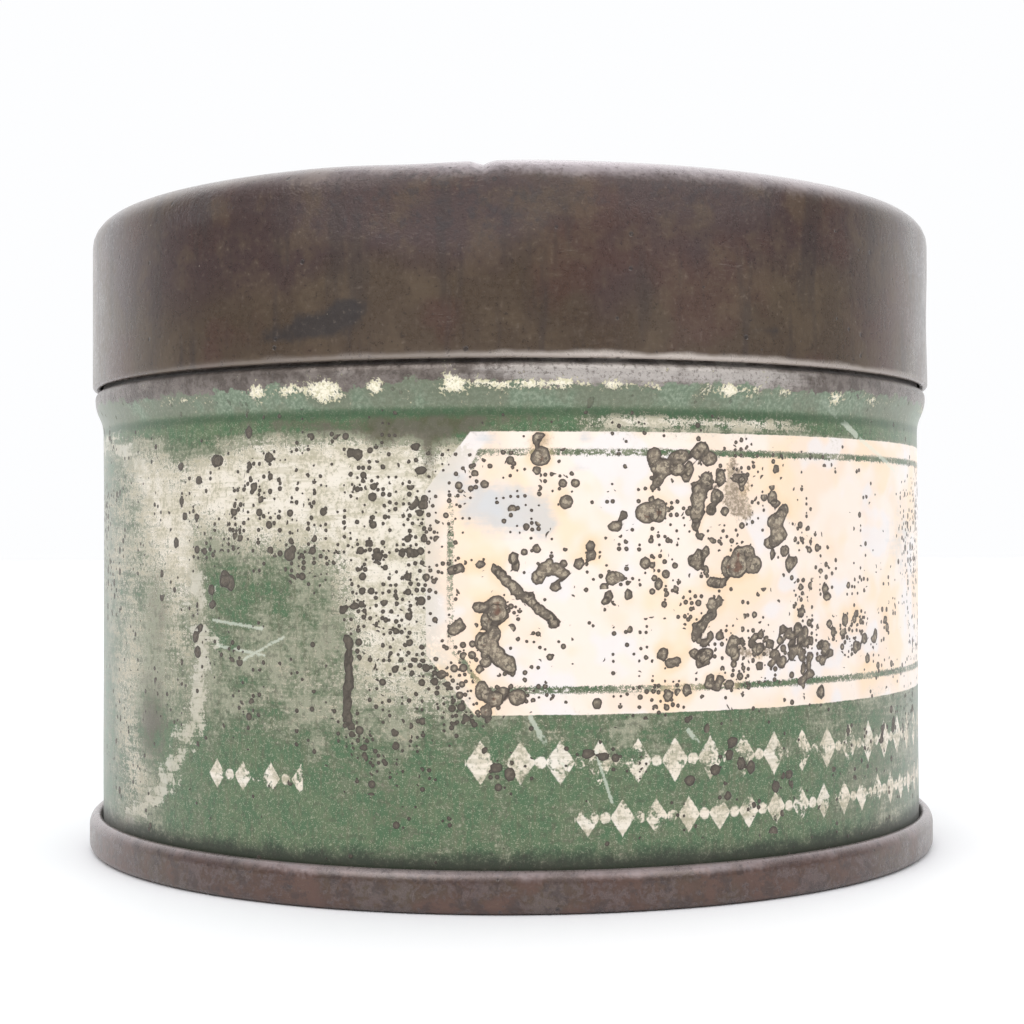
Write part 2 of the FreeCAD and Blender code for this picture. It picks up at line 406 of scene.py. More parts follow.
# Patches where the green is rubbed through: place round, height, reach round, reach up, strength
wornPatches = [
    (-14.5, 31.0, 8.5, 4.4, 0.64), (-9.5, 28.5, 4.5, 6.0, 0.42), (-21.5, 30.0, 5.0, 5.5, 0.36),
    (-8.0, 24.0, 4.0, 5.0, 0.28), (-10.5, 22.0, 4.5, 4.0, 0.18), (-7.5, 18.5, 4.5, 4.5, 0.24),
    (-13.0, 15.5, 7.0, 5.0, 0.17), (-5.5, 31.5, 2.5, 3.0, 0.30), (-5.0, 15.0, 3.0, 2.5, 0.12),
    (-21.0, 16.5, 6.0, 4.0, 0.10), (-31.0, 28.0, 4.0, 7.0, 0.42), (-26.0, 32.0, 3.0, 3.0, 0.2),
    (-30.0, 17.0, 3.0, 6.0, 0.14), (-37.0, 14.0, 5.0, 8.0, 0.30), (-34.0, 33.0, 5.0, 3.0, 0.20),
    (-35.0, 8.0, 4.0, 3.0, 0.25), (-18.5, 23.0, 4.5, 2.6, -0.12), (-17.0, 6.5, 16.0, 3.4, -0.17),
    (-25.0, 24.0, 2.0, 3.0, -0.10), (-40.0, 27.0, 6.0, 6.0, 0.22), (9.0, 35.7, 5.0, 0.55, 0.40),
    (19.0, 35.7, 5.5, 0.45, 0.40), (-4.5, 35.6, 4.0, 1.2, -0.45), (-18.0, 35.9, 12.0, 0.8, -0.25),
    (3.0, 12.4, 4.0, 1.4, 0.10), (9.0, 12.2, 3.0, 1.4, 0.12), (14.0, 7.8, 4.0, 1.3, 0.10),
    (5.0, 33.4, 6.0, 0.4, 0.26), (8.0, 16.0, 8.0, 0.5, 0.20), (-4.3, 27.0, 0.8, 6.0, -0.10),
    (-4.0, 31.8, 1.6, 1.6, 0.30), (31.0, 10.0, 8.0, 5.0, 0.10), (40.0, 8.0, 9.0, 6.0, 0.16),
    (62.0, 9.0, 9.0, 5.0, 0.14), (95.0, 27.0, 9.0, 6.0, 0.30), (-95.0, 28.0, 10.0, 6.0, 0.32),
    (-76.0, 12.0, 9.0, 6.0, 0.26), (55.0, 33.4, 9.0, 0.5, 0.3), (62.0, 16.0, 9.0, 0.6, 0.3),
    (75.0, 25.0, 4.0, 5.0, 0.35), (112.0, 20.0, 5.0, 14.0, 0.2), (-111.0, 24.0, 6.0, 14.0, 0.2),
    (20.0, 9.0, 13.0, 5.5, -0.16), (14.0, 35.3, 9.0, 0.7, 0.16), (-27.0, 34.6, 4.5, 1.5, -0.30),
    (-23.0, 30.8, 3.5, 2.4, 0.16), (-14.0, 35.2, 5.0, 0.7, -0.14), (-28.0, 24.0, 2.4, 6.0, 0.16),
]
# Dark grime in the print, and the chips along the bead, in the same form
grimePatches = [
    (-5.0, 35.3, 3.6, 1.1, 1.0), (-5.9, 33.0, 0.8, 1.9, 0.75), (-9.5, 34.6, 1.3, 1.6, 0.7),
    (-17.0, 35.8, 9.0, 0.6, 0.6), (1.0, 35.9, 4.0, 0.5, 0.6), (-33.0, 12.5, 3.0, 4.0, 0.8),
    (-32.0, 22.0, 2.6, 5.0, 0.5), (-9.0, 7.0, 3.0, 4.0, 0.45), (-22.0, 30.0, 1.0, 3.0, 0.3),
    (2.2, 34.2, 1.0, 0.9, 0.9), (-13.0, 20.0, 2.5, 3.0, 0.35), (-12.5, 35.1, 5.0, 0.7, 0.45),
    (35.0, 9.0, 5.0, 3.0, 0.4), (58.0, 30.0, 8.0, 4.0, 0.4), (-60.0, 20.0, 7.0, 9.0, 0.5),
    (110.0, 15.0, 6.0, 8.0, 0.5), (-100.0, 10.0, 8.0, 5.0, 0.5),
]
chipPatches = [
    (-14.0, 38.0, 1.5, 0.9, 0.55), (-16.8, 38.2, 1.4, 0.5, 0.35), (-19.8, 38.1, 1.2, 0.6, 0.35),
    (-9.8, 38.3, 0.7, 0.6, 0.5), (-4.2, 38.2, 1.0, 0.9, 0.5), (-1.0, 38.3, 2.6, 0.4, 0.42),
    (3.4, 38.4, 2.2, 0.4, 0.45), (8.3, 38.3, 1.8, 0.4, 0.45), (11.0, 38.1, 1.0, 0.4, 0.3),
    (16.8, 38.1, 2.4, 0.5, 0.48), (22.0, 38.2, 1.4, 0.3, 0.25), (27.5, 38.0, 0.8, 0.7, 0.4),
    (-28.0, 37.9, 2.4, 0.4, 0.3), (33.0, 38.0, 3.0, 0.4, 0.25), (52.0, 38.1, 5.0, 0.5, 0.4),
    (-55.0, 38.2, 6.0, 0.5, 0.4), (85.0, 38.1, 7.0, 0.5, 0.35), (-92.0, 38.1, 8.0, 0.5, 0.4),
]
# Cool grey smudges on the panel's ground, and a painted highlight along the bare metal of the bead
smudgeAndHighlightPatches = [
    (-2.6, 29.6, 2.2, 2.2, 0.8), (0.4, 29.2, 1.8, 2.0, 1.0), (2.6, 28.4, 1.2, 1.8, 0.6),
    (-5.0, 32.0, 1.6, 1.4, 0.5), (5.2, 32.3, 1.0, 0.5, 0.5), (5.6, 34.5, 0.9, 0.6, 0.6),
    (-1.8, 34.4, 1.6, 0.6, 0.7), (1.4, 21.6, 0.8, 1.2, 0.5), (40.0, 27.0, 4.0, 4.0, 0.6),
    (55.0, 18.0, 5.0, 3.0, 0.5), (6.0, 39.2, 9.0, 1.1, 1.0), (19.0, 39.2, 6.0, 1.0, 0.8),
    (-12.0, 39.3, 3.0, 0.5, 0.3), (60.0, 39.2, 12.0, 1.0, 0.8), (-70.0, 39.2, 15.0, 1.0, 0.7),
    (-105.0, 39.2, 8.0, 1.0, 0.8),
]
tanPatches = [      # rust spread thin
    (17.6, 30.2, 1.2, 1.5, 1.0), (17.2, 31.9, 0.5, 1.2, 0.9), (18.6, 29.0, 0.7, 0.6, 0.7),
    (20.0, 18.5, 2.4, 0.5, 0.7), (17.6, 18.9, 0.9, 0.6, 0.6), (2.2, 34.1, 0.9, 0.3, 0.6),
    (57.0, 25.0, 2.0, 2.0, 0.8), (-52.0, 20.0, 2.0, 3.0, 0.5),
]
# Rust blisters: place round, height, how many, spread round, spread up, smallest and largest radius
rustClusters = [
    (2.3, 33.2, 2, 0.3, 0.3, 0.55, 0.70), (2.1, 34.3, 2, 0.3, 0.2, 0.35, 0.50),
    (0.2, 32.6, 5, 1.6, 0.4, 0.13, 0.27), (4.0, 31.6, 9, 2.2, 0.8, 0.12, 0.26),
    (4.1, 29.7, 1, 0.1, 0.1, 0.55, 0.55), (7.3, 30.0, 3, 0.4, 0.4, 0.30, 0.42),
    (8.1, 28.3, 2, 0.3, 0.4, 0.35, 0.52), (10.4, 29.0, 2, 0.5, 0.2, 0.75, 0.90),
    (10.9, 31.6, 8, 0.6, 1.1, 0.35, 0.66), (12.7, 31.9, 4, 0.4, 0.6, 0.30, 0.46),
    (14.2, 31.3, 12, 0.8, 1.2, 0.38, 0.68), (16.6, 32.0, 4, 0.9, 0.6, 0.20, 0.40),
    (13.2, 29.2, 7, 1.2, 0.5, 0.22, 0.36), (-0.4, 28.4, 15, 2.3, 1.8, 0.08, 0.30),
    (1.0, 25.6, 4, 0.9, 0.5, 0.30, 0.46), (-2.7, 25.3, 7, 0.7, 0.7, 0.28, 0.45),
    (3.3, 24.4, 8, 1.0, 0.6, 0.40, 0.64), (5.6, 23.8, 9, 1.1, 0.9, 0.13, 0.36),
    (5.9, 26.7, 3, 0.2, 0.5, 0.28, 0.48), (8.7, 23.9, 12, 1.2, 0.9, 0.24, 0.60),
    (11.6, 27.0, 12, 2.0, 0.6, 0.12, 0.34), (12.3, 24.6, 8, 1.0, 0.8, 0.13, 0.36),
    (14.5, 25.8, 9, 0.4, 0.9, 0.33, 0.52), (15.1, 23.9, 3, 0.7, 0.2, 0.36, 0.58),
    (17.5, 27.4, 4, 0.5, 0.9, 0.18, 0.30), (18.6, 25.5, 7, 1.2, 0.5, 0.55, 0.85),
    (14.9, 21.0, 9, 0.6, 1.1, 0.24, 0.48), (13.5, 22.2, 8, 2.0, 0.9, 0.10, 0.22),
    (0.6, 22.1, 8, 0.7, 0.8, 0.18, 0.36), (-1.3, 21.4, 9, 0.6, 0.8, 0.40, 0.74),
    (-3.8, 20.5, 4, 0.4, 0.5, 0.32, 0.52), (2.0, 19.3, 10, 1.8, 0.9, 0.10, 0.28),
    (6.0, 20.6, 4, 2.2, 0.6, 0.10, 0.20), (9.5, 18.6, 5, 1.2, 0.6, 0.14, 0.28),
    (11.8, 18.3, 5, 0.7, 0.4, 0.28, 0.50), (14.9, 18.4, 6, 0.7, 0.3, 0.30, 0.54),
    (17.4, 18.9, 10, 1.0, 0.7, 0.26, 0.58), (-0.7, 15.6, 6, 0.6, 0.4, 0.45, 0.70),
    (-3.7, 16.6, 34, 1.1, 1.5, 0.12, 0.42), (-3.0, 15.0, 14, 1.1, 0.5, 0.15, 0.40),
    (1.6, 15.6, 6, 1.6, 0.4, 0.15, 0.36), (6.2, 15.7, 3, 0.2, 0.6, 0.32, 0.44),
    (9.3, 15.3, 6, 1.6, 0.5, 0.12, 0.28), (12.4, 15.9, 7, 1.4, 0.5, 0.16, 0.46),
    (15.8, 16.3, 10, 1.3, 0.4, 0.26, 0.55), (12.5, 34.3, 7, 5.0, 0.3, 0.10, 0.26),
    (14.9, 33.6, 2, 0.4, 0.3, 0.42, 0.58), (18.5, 32.4, 9, 1.6, 0.6, 0.16, 0.34),
    (21.3, 28.9, 20, 0.5, 1.4, 0.34, 0.62), (19.9, 29.6, 4, 0.3, 0.9, 0.20, 0.34),
    (22.8, 25.6, 7, 0.5, 0.6, 0.30, 0.52), (24.0, 28.2, 8, 0.2, 1.9, 0.18, 0.34),
    (25.6, 26.4, 4, 0.12, 0.5, 0.24, 0.36), (26.1, 24.6, 4, 0.5, 0.1, 0.18, 0.30),
    (24.2, 23.4, 8, 0.4, 1.0, 0.16, 0.36), (26.7, 22.6, 5, 0.15, 0.6, 0.28, 0.44),
    (20.5, 22.0, 12, 2.4, 1.5, 0.10, 0.24), (22.0, 18.6, 44, 2.6, 1.0, 0.22, 0.46),
    (26.3, 18.8, 14, 1.1, 1.0, 0.22, 0.46), (19.3, 17.1, 12, 1.2, 0.6, 0.20, 0.40),
    (24.6, 15.8, 12, 1.0, 0.7, 0.25, 0.50), (29.2, 20.2, 10, 0.9, 1.1, 0.18, 0.42),
    (31.8, 18.6, 14, 1.8, 1.0, 0.22, 0.52), (30.5, 23.4, 7, 0.9, 1.6, 0.16, 0.38),
    (30.5, 28.5, 5, 1.4, 3.2, 0.12, 0.30), (34.5, 26.0, 7, 2.0, 4.5, 0.14, 0.34),
    (37.5, 20.0, 9, 2.2, 3.0, 0.18, 0.44), (19.5, 19.4, 10, 1.6, 0.5, 0.18, 0.40),
    (-24.0, 33.0, 2, 0.3, 0.1, 0.42, 0.58), (-19.7, 33.0, 6, 0.8, 0.5, 0.18, 0.46),
    (-15.7, 35.4, 2, 0.2, 0.2, 0.30, 0.42), (-11.7, 33.4, 2, 0.3, 0.2, 0.36, 0.48),
    (-21.0, 35.2, 1, 0.1, 0.1, 0.45, 0.45), (-20.4, 30.9, 6, 0.4, 0.6, 0.18, 0.34),
    (-10.2, 26.1, 6, 0.5, 0.3, 0.26, 0.42), (-15.2, 25.6, 12, 1.0, 0.8, 0.12, 0.34),
    (-8.6, 29.4, 34, 2.6, 2.6, 0.10, 0.36), (-6.9, 29.0, 16, 0.35, 2.2, 0.22, 0.44),
    (-6.6, 24.8, 18, 0.9, 2.2, 0.14, 0.38), (-11.0, 22.0, 14, 1.0, 1.6, 0.18, 0.42),
    (-4.9, 27.0, 12, 0.7, 3.6, 0.10, 0.22), (-8.0, 20.0, 22, 2.2, 2.2, 0.08, 0.28),
    (-13.5, 29.5, 22, 3.6, 2.6, 0.07, 0.24), (-17.0, 27.0, 14, 2.4, 1.8, 0.07, 0.22),
    (-23.3, 24.1, 3, 0.3, 0.3, 0.45, 0.65), (-26.2, 21.0, 14, 0.7, 3.4, 0.20, 0.50),
    (-20.5, 16.5, 16, 3.4, 2.6, 0.10, 0.34), (-27.8, 29.5, 8, 1.0, 2.0, 0.22, 0.45),
    (44.0, 26.0, 22, 2.6, 3.0, 0.14, 0.60), (52.0, 19.0, 30, 3.4, 1.6, 0.16, 0.62),
    (49.0, 31.0, 14, 3.0, 1.0, 0.14, 0.50), (60.0, 28.5, 24, 2.6, 2.4, 0.14, 0.66),
    (69.0, 21.0, 26, 2.0, 3.4, 0.14, 0.58), (78.0, 29.0, 24, 3.0, 3.0, 0.14, 0.50),
    (88.0, 12.0, 26, 4.0, 2.0, 0.14, 0.55), (101.0, 30.0, 20, 3.0, 2.5, 0.14, 0.50),
    (-44.0, 26.0, 24, 3.0, 4.0, 0.14, 0.50), (-58.0, 14.0, 24, 3.0, 3.0, 0.14, 0.50),
    (-72.0, 30.0, 26, 5.0, 2.5, 0.14, 0.55), (-90.0, 14.0, 26, 5.0, 3.5, 0.14, 0.55),
    (-105.0, 27.0, 20, 3.0, 3.5, 0.14, 0.50), (110.0, 8.0, 14, 2.0, 1.5, 0.14, 0.50),
    (38.0, 12.0, 12, 3.0, 1.5, 0.14, 0.45), (-8.5, 9.0, 9, 1.6, 2.4, 0.10, 0.26),
    (8.2, 10.6, 7, 3.6, 1.6, 0.22, 0.50), (15.6, 10.6, 14, 3.4, 1.8, 0.18, 0.50),
    (22.5, 9.4, 14, 3.4, 2.6, 0.18, 0.48), (0.4, 10.3, 6, 0.8, 0.6, 0.28, 0.50),
    (31.0, 10.0, 12, 3.4, 2.4, 0.14, 0.36), (13.2, 33.0, 3, 0.8, 0.4, 0.40, 0.52),
    (15.7, 31.0, 4, 0.5, 0.9, 0.42, 0.58), (18.2, 31.8, 3, 0.3, 0.8, 0.36, 0.44),
    (16.4, 29.3, 3, 0.9, 0.2, 0.36, 0.44), (23.6, 18.7, 8, 1.8, 0.7, 0.36, 0.50),
    (7.0, 21.9, 3, 1.6, 0.5, 0.30, 0.40),
]
# Rust that follows a scratch: from, to, how many, smallest and largest radius
rustRuns = [
    ((-1.1, 24.9), (3.2, 21.0), 26, 0.36, 0.44), ((-2.1, 19.7), (0.2, 17.6), 12, 0.42, 0.66),
    ((-12.2, 19.8), (-12.2, 13.5), 18, 0.36, 0.40), ((-12.1, 13.3), (-9.9, 10.6), 16, 0.12, 0.22),
    ((-8.6, 18.8), (-4.6, 16.4), 16, 0.14, 0.26), ((-9.7, 21.1), (-8.1, 21.3), 8, 0.20, 0.28),
    ((-22.2, 30.4), (-22.5, 26.8), 12, 0.14, 0.26), ((14.2, 20.0), (15.8, 22.4), 8, 0.30, 0.44),
    ((30.0, 19.0), (32.4, 21.2), 9, 0.16, 0.30), ((-7.0, 14.8), (-6.3, 9.0), 12, 0.07, 0.18),
]


# Small spots: width of their cells, largest radius, share of cells, and how far wear and pox add to it
spotSizes = [(0.50, 0.19, 0.0, 0.15, 0.75), (0.95, 0.34, -0.03, 0.10, 0.75), (1.9, 0.55, -0.03, 0.02, 0.30)]


def flankBends(rise, run):
    # Radius and turn of the two equal bends that move the wall sideways by rise along run
    return (rise ** 2 + run ** 2) / (4 * rise), np.degrees(2 * np.arctan2(rise, run))


def rustSpots(random):
    # Every blister's place, radius and stretch, scattered about the clusters and strung along the runs
    spots = []
    for around, height, count, wide, tall, small, large in rustClusters:
        places = random.normal((around, height), (wide, tall), (count, 2))
        spots.append(np.column_stack([places, random.uniform(small, large, count)]))
    for start, end, count, small, large in rustRuns:
        along = np.linspace(0, 1, count)[:, None]
        places = np.array(start) * (1 - along) + np.array(end) * along + random.normal(0, 0.09, (count, 2))
        spots.append(np.column_stack([places, random.uniform(small, large, count)]))
    spots = np.vstack(spots)
    stretch = random.uniform(0.82, 1.22, len(spots))
    return np.column_stack([spots, stretch])


def rustFields(around, height):
    # How far inside the nearest blister a point is and inside the next one, in millimetres, negative
    # outside. Spots too small for the grid only add to the third field, how thickly small spots lie,
    # each as a soft round patch.
    deepest, second = np.full(around.shape, -1.5), np.full(around.shape, -1.5)
    thickness = np.zeros_like(around)
    for middle, level, radius, stretch in rustSpots(np.random.default_rng(7)):
        near = (np.abs(around - middle) < 4) & (np.abs(height - level) < 4)
        away = np.hypot((around[near] - middle) * stretch, (height[near] - level) / stretch)
        if abs(middle) > body["lastBlister"]:
            thickness[near] += 0.5 * radius * np.exp(-(away / 1.7) ** 2)
        elif radius < body["smallestBlister"]:
            thickness[near] += 0.34 * np.exp(-(away / 0.75) ** 2)
        else:
            depth = radius - away
            second[near] = np.maximum(second[near], np.minimum(deepest[near], depth))
            deepest[near] = np.maximum(deepest[near], depth)
    return deepest, second, thickness


def wearOf(around, height):
    # How far the green is rubbed away, about 0 to 1: the patches on an uneven ground
    return 0.15 + 0.05 * ripple(around / wallRadius, height, 9, 3) + patches(around, height, wornPatches)


# The lock seam's step outside, filled by the solder, and its ridge inside: place across it, depth
lockOutside = [(1.5, 0), (1.7, 0.04), (1.85, 0.14), (1.95, 0.33), (2.02, 0.9), (2.15, 0.9), (2.3, 0.62),
               (2.5, 0.36), (2.75, 0.12), (3.05, 0)]
lockInside = [(-2.3, 0), (-2.1, 0.25), (-1.8, 0.7), (-1.5, 0.99), (1.5, 0.99), (2.0, 0.95), (2.5, 0.6),
              (2.8, 0.2), (3.1, 0)]


def bodyShape(radius, turned, height):
    # Adds the lock seam at the back and makes the wall slightly out of round
    across = (pi - np.abs(turned)) * wallRadius * np.sign(turned)
    low, high = body["lockEnds"]
    fade = np.clip((height - low) / 0.3, 0, 1) * np.clip((high - height) / 0.3, 0, 1)
    outside = radius > wallRadius - sheet / 2
    steps = np.interp(across, *np.array(lockOutside).T, left=0, right=0)
    ridge = np.interp(across, *np.array(lockInside).T, left=0, right=0)
    radius = radius - fade * np.where(outside, steps, ridge)
    clear = np.clip((height - 4.0) / 6, 0, 1) * np.clip((36.0 - height) / 6, 0, 1)
    return radius + body["wobble"] * clear * ripple(turned, height, 5, 11), turned, height


def wallAngles():
    # Close together where the front is seen and at the lock seam, wider apart elsewhere
    reach = radians(body["frontReach"])
    front = np.linspace(-reach, reach, ceil(2 * reach * wallRadius / body["frontStep"]))
    back = np.linspace(reach, 2 * pi - reach, body["backColumns"])[1:-1]
    lock = pi + np.array([point[0] for point in lockOutside + lockInside]) / wallRadius
    every = np.concatenate([front, (back + pi) % (2 * pi) - pi, -((lock + pi) % (2 * pi) - pi), [-pi]])
    every = np.unique(np.round(every, 4))
    return every[np.append(True, np.diff(every) > 0.0008)]


def makeBody(material):
    flankRadius, flankTurn = flankBends(body["beadRise"], body["beadFlank"])
    upperRadius, upperTurn = flankBends(body["beadRise"], body["beadShoulder"])
    hookMiddle = wallRadius - sheet / 2 + 2 * body["flangeHook"] - 0.2
    crest = body["beadCrest"]
    hook = (hookMiddle - (wallRadius - sheet / 2)) / 2
    moves = [
        body["flangeTip"] - body["flangeTurn"], (hook, -180),
        crest - body["beadFlank"] - body["flangeTurn"],
        (flankRadius, -flankTurn), (flankRadius, flankTurn),
        (upperRadius, upperTurn), (upperRadius, -upperTurn),
        mouthTop - body["curlRadius"] - crest - body["beadShoulder"],
        (body["curlRadius"] - sheet / 2, 270),
    ]
    start = (hookMiddle, body["flangeTip"])
    steps = [body["frontStep"]] * 7 + [body["neckStep"]] * 2
    points, normals = bentPath(start, -90, moves, steps)
    outer = points - normals * sheet / 2
    points, normals = bentPath(start, -90, moves, body["innerStep"])
    inner = points + normals * sheet / 2
    angles = wallAngles()
    piece, _, turned, height = spin("body_printed", np.vstack([outer, inner[::-1]]), angles, bodyShape)
    around = turned * wallRadius
    for name, field in zip(("rust", "rustBehind", "pox"), rustFields(around, height)):
        paintOn(piece, name, field)
    paintOn(piece, "wear", wearOf(around, height))
    paintOn(piece, "grime", patches(around, height, grimePatches))
    paintOn(piece, "chips", patches(around, height, chipPatches))
    paintOn(piece, "smudgeAndHighlight", patches(around, height, smudgeAndHighlightPatches))
    paintOn(piece, "tan", patches(around, height, tanPatches))
    innerRows = np.arange(len(outer) + len(inner)) >= len(outer)
    paintOn(piece, "inside", innerRows[:, None] * np.ones(len(angles)))
    finishPiece(piece, material, "tin", "body_wall", slot="printed_tinplate")


def printedTinplate():
    s = Finish("printed_tinplate_worn", Specular_IOR_Level=0.5, Sheen_Weight=0.25, Sheen_Roughness=0.35)
    around, height = s.stripMap()
    wear, rust, inside = s.painted("wear"), s.painted("rust"), s.painted("inside")
    grime, chips, smudgeAndHighlight = s.painted("grime"), s.painted("chips"), s.painted("smudgeAndHighlight")
    fine, medium, broad = s.noise(0.30, 4, 0.72), s.noise(1.7, 4, 0.62), s.noise(7.0, 2)
    grain = s.noise(0.10, 2, 0.6)
    brushed = s.noise(0.9, 4, 0.65, (0.14, 1.8, 1))      # rubbing runs round the tin
    upward = s.noise(0.8, 3, 0.6, (2.2, 0.25, 1))
    tinted = s.noise(5.0, 2)

    # How deep inside the panel a point is, with its corners cut
    side = panel["halfWidth"] - (around - panel["middle"]).size()
    fromTop, fromBottom = panel["top"] - height, height - panel["bottom"]
    cuts = []
    for (wide, tall), edge in ((panel["topCut"], fromTop), (panel["bottomCut"], fromBottom)):
        cuts.append((side * tall + edge * wide - wide * tall) * (1 / np.hypot(wide, tall)))
    depth = side.least(fromTop, fromBottom, *cuts) + (medium - 0.5) * 0.14 + (fine - 0.5) * 0.12
    nearLow = fromBottom.fall(2.4, 3.4).most(side.fall(3.0, 4.0)) * 0.3
    lineDepth = depth - nearLow + (fine - 0.5) * 0.45 + (grain - 0.5) * 0.35
    line = lineDepth.rise(panel["line"][0] - 0.04, panel["line"][0] + 0.04) \
        * lineDepth.fall(panel["line"][1] - 0.04, panel["line"][1] + 0.04)
    inPanel = depth.rise(-0.04, 0.04)
    outer = 1.0 - inPanel

    # The medallion's broken outline, as an ellipse
    across = (around - medallion["middle"]) / medallion["halfWidth"]
    upAcross = (height - medallion["height"]) / medallion["halfHeight"]
    oval = (across * across + upAcross * upAcross).math("SQRT")
    ring = (oval - 1.0).size() * 18 + (medium - 0.5) * 5.0 + (brushed - 0.5) * 3.0 + (fine - 0.5) * 3.0
    ring = ring.fall(medallion["line"] / 2 - 0.2, medallion["line"] / 2 + 0.45)
    inMedallion = oval.fall(0.96, 1.0)

    # Rows of plain lozenges with a dot between each two, printed unevenly
    patchy = (medium - 0.5) * 0.5 + (fine - 0.5) * 0.5
    rows = []
    for key in ("upper", "lower", "side"):
        level, first, last, pitch, wide, tall = frieze[key]
        here, up = (around - first).repeat(pitch), (height - level).size()
        lozenge = here.size() * (1 / wide) + up * (1 / tall) + patchy * 0.5
        dot = (here.size() - pitch / 2).size()
        dot = (dot * dot + up * up).math("SQRT") + patchy * 0.5
        rows.append(lozenge.fall(0.92, 1.04).most(dot.fall(0.34, 0.46))
                    * around.rise(first - wide - 0.1, first - wide) * around.fall(last, last + 0.1))
    borderHere = around.size().rise(backPrint["borderFrom"], backPrint["borderFrom"] + 0.3)
    for level in backPrint["borderHeights"]:
        rows.append((height - level).size().fall(0.5, 0.6) * borderHere)
    faded = (s.noise(2.4, 4, 0.6) + wear * 0.1 + (fine - 0.5) * 0.25).fall(0.53, 0.64)
    motifs = rows[0].most(*rows[1:]) * faded

    printed = (1.0 - inPanel).most(line) * (1.0 - ring * 0.6) * (1.0 - motifs)
    besideLock = around.size().rise(backPrint["bareFrom"], backPrint["bareFrom"] + 0.3)
    printed = printed * (1.0 - besideLock)

    # Where the green still holds
    rubbed = wear + (fine - 0.5) * 1.1 + (medium - 0.5) * 0.65 + (brushed - 0.5) * 0.50 \
        + (upward - 0.5) * 0.20 + (grain - 0.5) * 0.5 - grime * 0.25 + inMedallion * 0.06 \
        + inPanel * 0.10 - height.fall(11.0, 15.0) * 0.05
    held = rubbed.fall(0.42, 0.53)
    green = printed * held

    # Undercoat and panel
    cream = s.mix(broad.rise(0.42, 0.62), "f5e5d8", "f3ddc9")
    cream = s.mix(tinted.rise(0.50, 0.70) * 0.75, cream, "f8dbba")
    cream = s.mix(tinted.fall(0.34, 0.46) * 0.7, cream, "eae6e6")
    smudged = (smudgeAndHighlight + (medium - 0.5) * 0.8 + (brushed - 0.5) * 0.5).rise(0.25, 0.85)
    cream = s.mix(smudged * inPanel * 0.7, cream, "c3c8cb")
    nearEdge = depth.fall(0.2, 2.2) * (wear + (fine - 0.5) * 0.9 + (medium - 0.5) * 0.7).rise(0.25, 0.50)
    cream = s.mix(nearEdge * 0.75, cream, "d3cbbd")
    cream = s.mix(outer * 0.8, cream, "e8e0d1")
    cream = s.mix(outer * medium.rise(0.36, 0.62) * 0.6, cream, "cfc5af")
    cream = s.mix(brushed.rise(0.50, 0.62) * outer * 0.42, cream, "b3ab90")
    worndown = (fine * 0.6 + medium * 0.4).rise(0.49, 0.58) * outer
    cream = s.mix(worndown * 0.58, cream, "9a957a")

    # Green, thinned to sage where it is half rubbed away
    deep = s.mix(medium.rise(0.36, 0.62), "486746", "5c7050")
    thin = wear * 1.1 + (medium - 0.5) * 0.9 + (broad - 0.5) * 0.6 + (brushed - 0.5) * 0.5 \
        + (fine - 0.5) * 0.5 - height.rise(34.9, 35.4) * 0.3 - height.fall(11.0, 15.0) * 0.16
    greens = s.mix(thin.rise(-0.02, 0.14), deep, "5d6b50")
    greens = s.mix(thin.rise(0.10, 0.42), greens, "94957f")
    greens = s.mix(upward.rise(0.50, 0.70) * 0.45, greens, "66684f")
    greens = s.mix((fine * 0.5 + grain * 0.5).rise(0.53, 0.62) * 0.5, greens, "b4b39b")
    greens = s.mix(s.noise(0.55, 3, 0.65).rise(0.56, 0.64) * 0.45, greens, "4b4d3c")
    colour = s.mix(green, cream, greens)
    dark = (grime + (medium - 0.5) * 0.9 + (fine - 0.5) * 0.9).rise(0.30, 0.95)
    grimy = s.mix(medium.rise(0.4, 0.6), "504c36", "5b5548")
    colour = s.mix(dark * 0.85 * (1.0 - inPanel * (0.8 - grime * 0.5)), colour, grimy)

    # Pale scratches through the print
    scratched = []
    for start, end, width in scratchLines:
        away = segment(around, height, start, end) + (fine - 0.5) * 0.45
        scratched.append(away.fall(width, width + 0.09))
    scratches = scratched[0].most(*scratched[1:]) * (medium + tinted).rise(0.78, 0.88)
    colour = s.mix(scratches * 0.5, colour, "dfe4d4")

    # Bare metal over the bead, with ragged chips of undercoat along its edge, a painted reflection on its
    # lower flank and a painted highlight on its top
    ragged = height + (s.noise(1.6, 5, 0.75) - 0.5) * 2.2 + (tinted - 0.5) * 1.2
    bare = ragged.rise(38.35, 38.50)
    chipped = (chips + (medium - 0.5) * 0.8 + (fine - 0.5) * 1.1).rise(0.26, 0.34)
    onBead = height.rise(36.3, 37.0)
    # Painted reflection: the lower flank of the bead is painted pale grey-green where it reflects the floor
    flankReflection = s.mix(fine.rise(0.4, 0.65), "687862", "8b9883")
    flankReflection = s.mix((broad + medium * 0.4).rise(0.62, 0.78) * 0.6, flankReflection, "6a6a58")
    colour = s.mix(onBead * 0.85, colour, flankReflection)
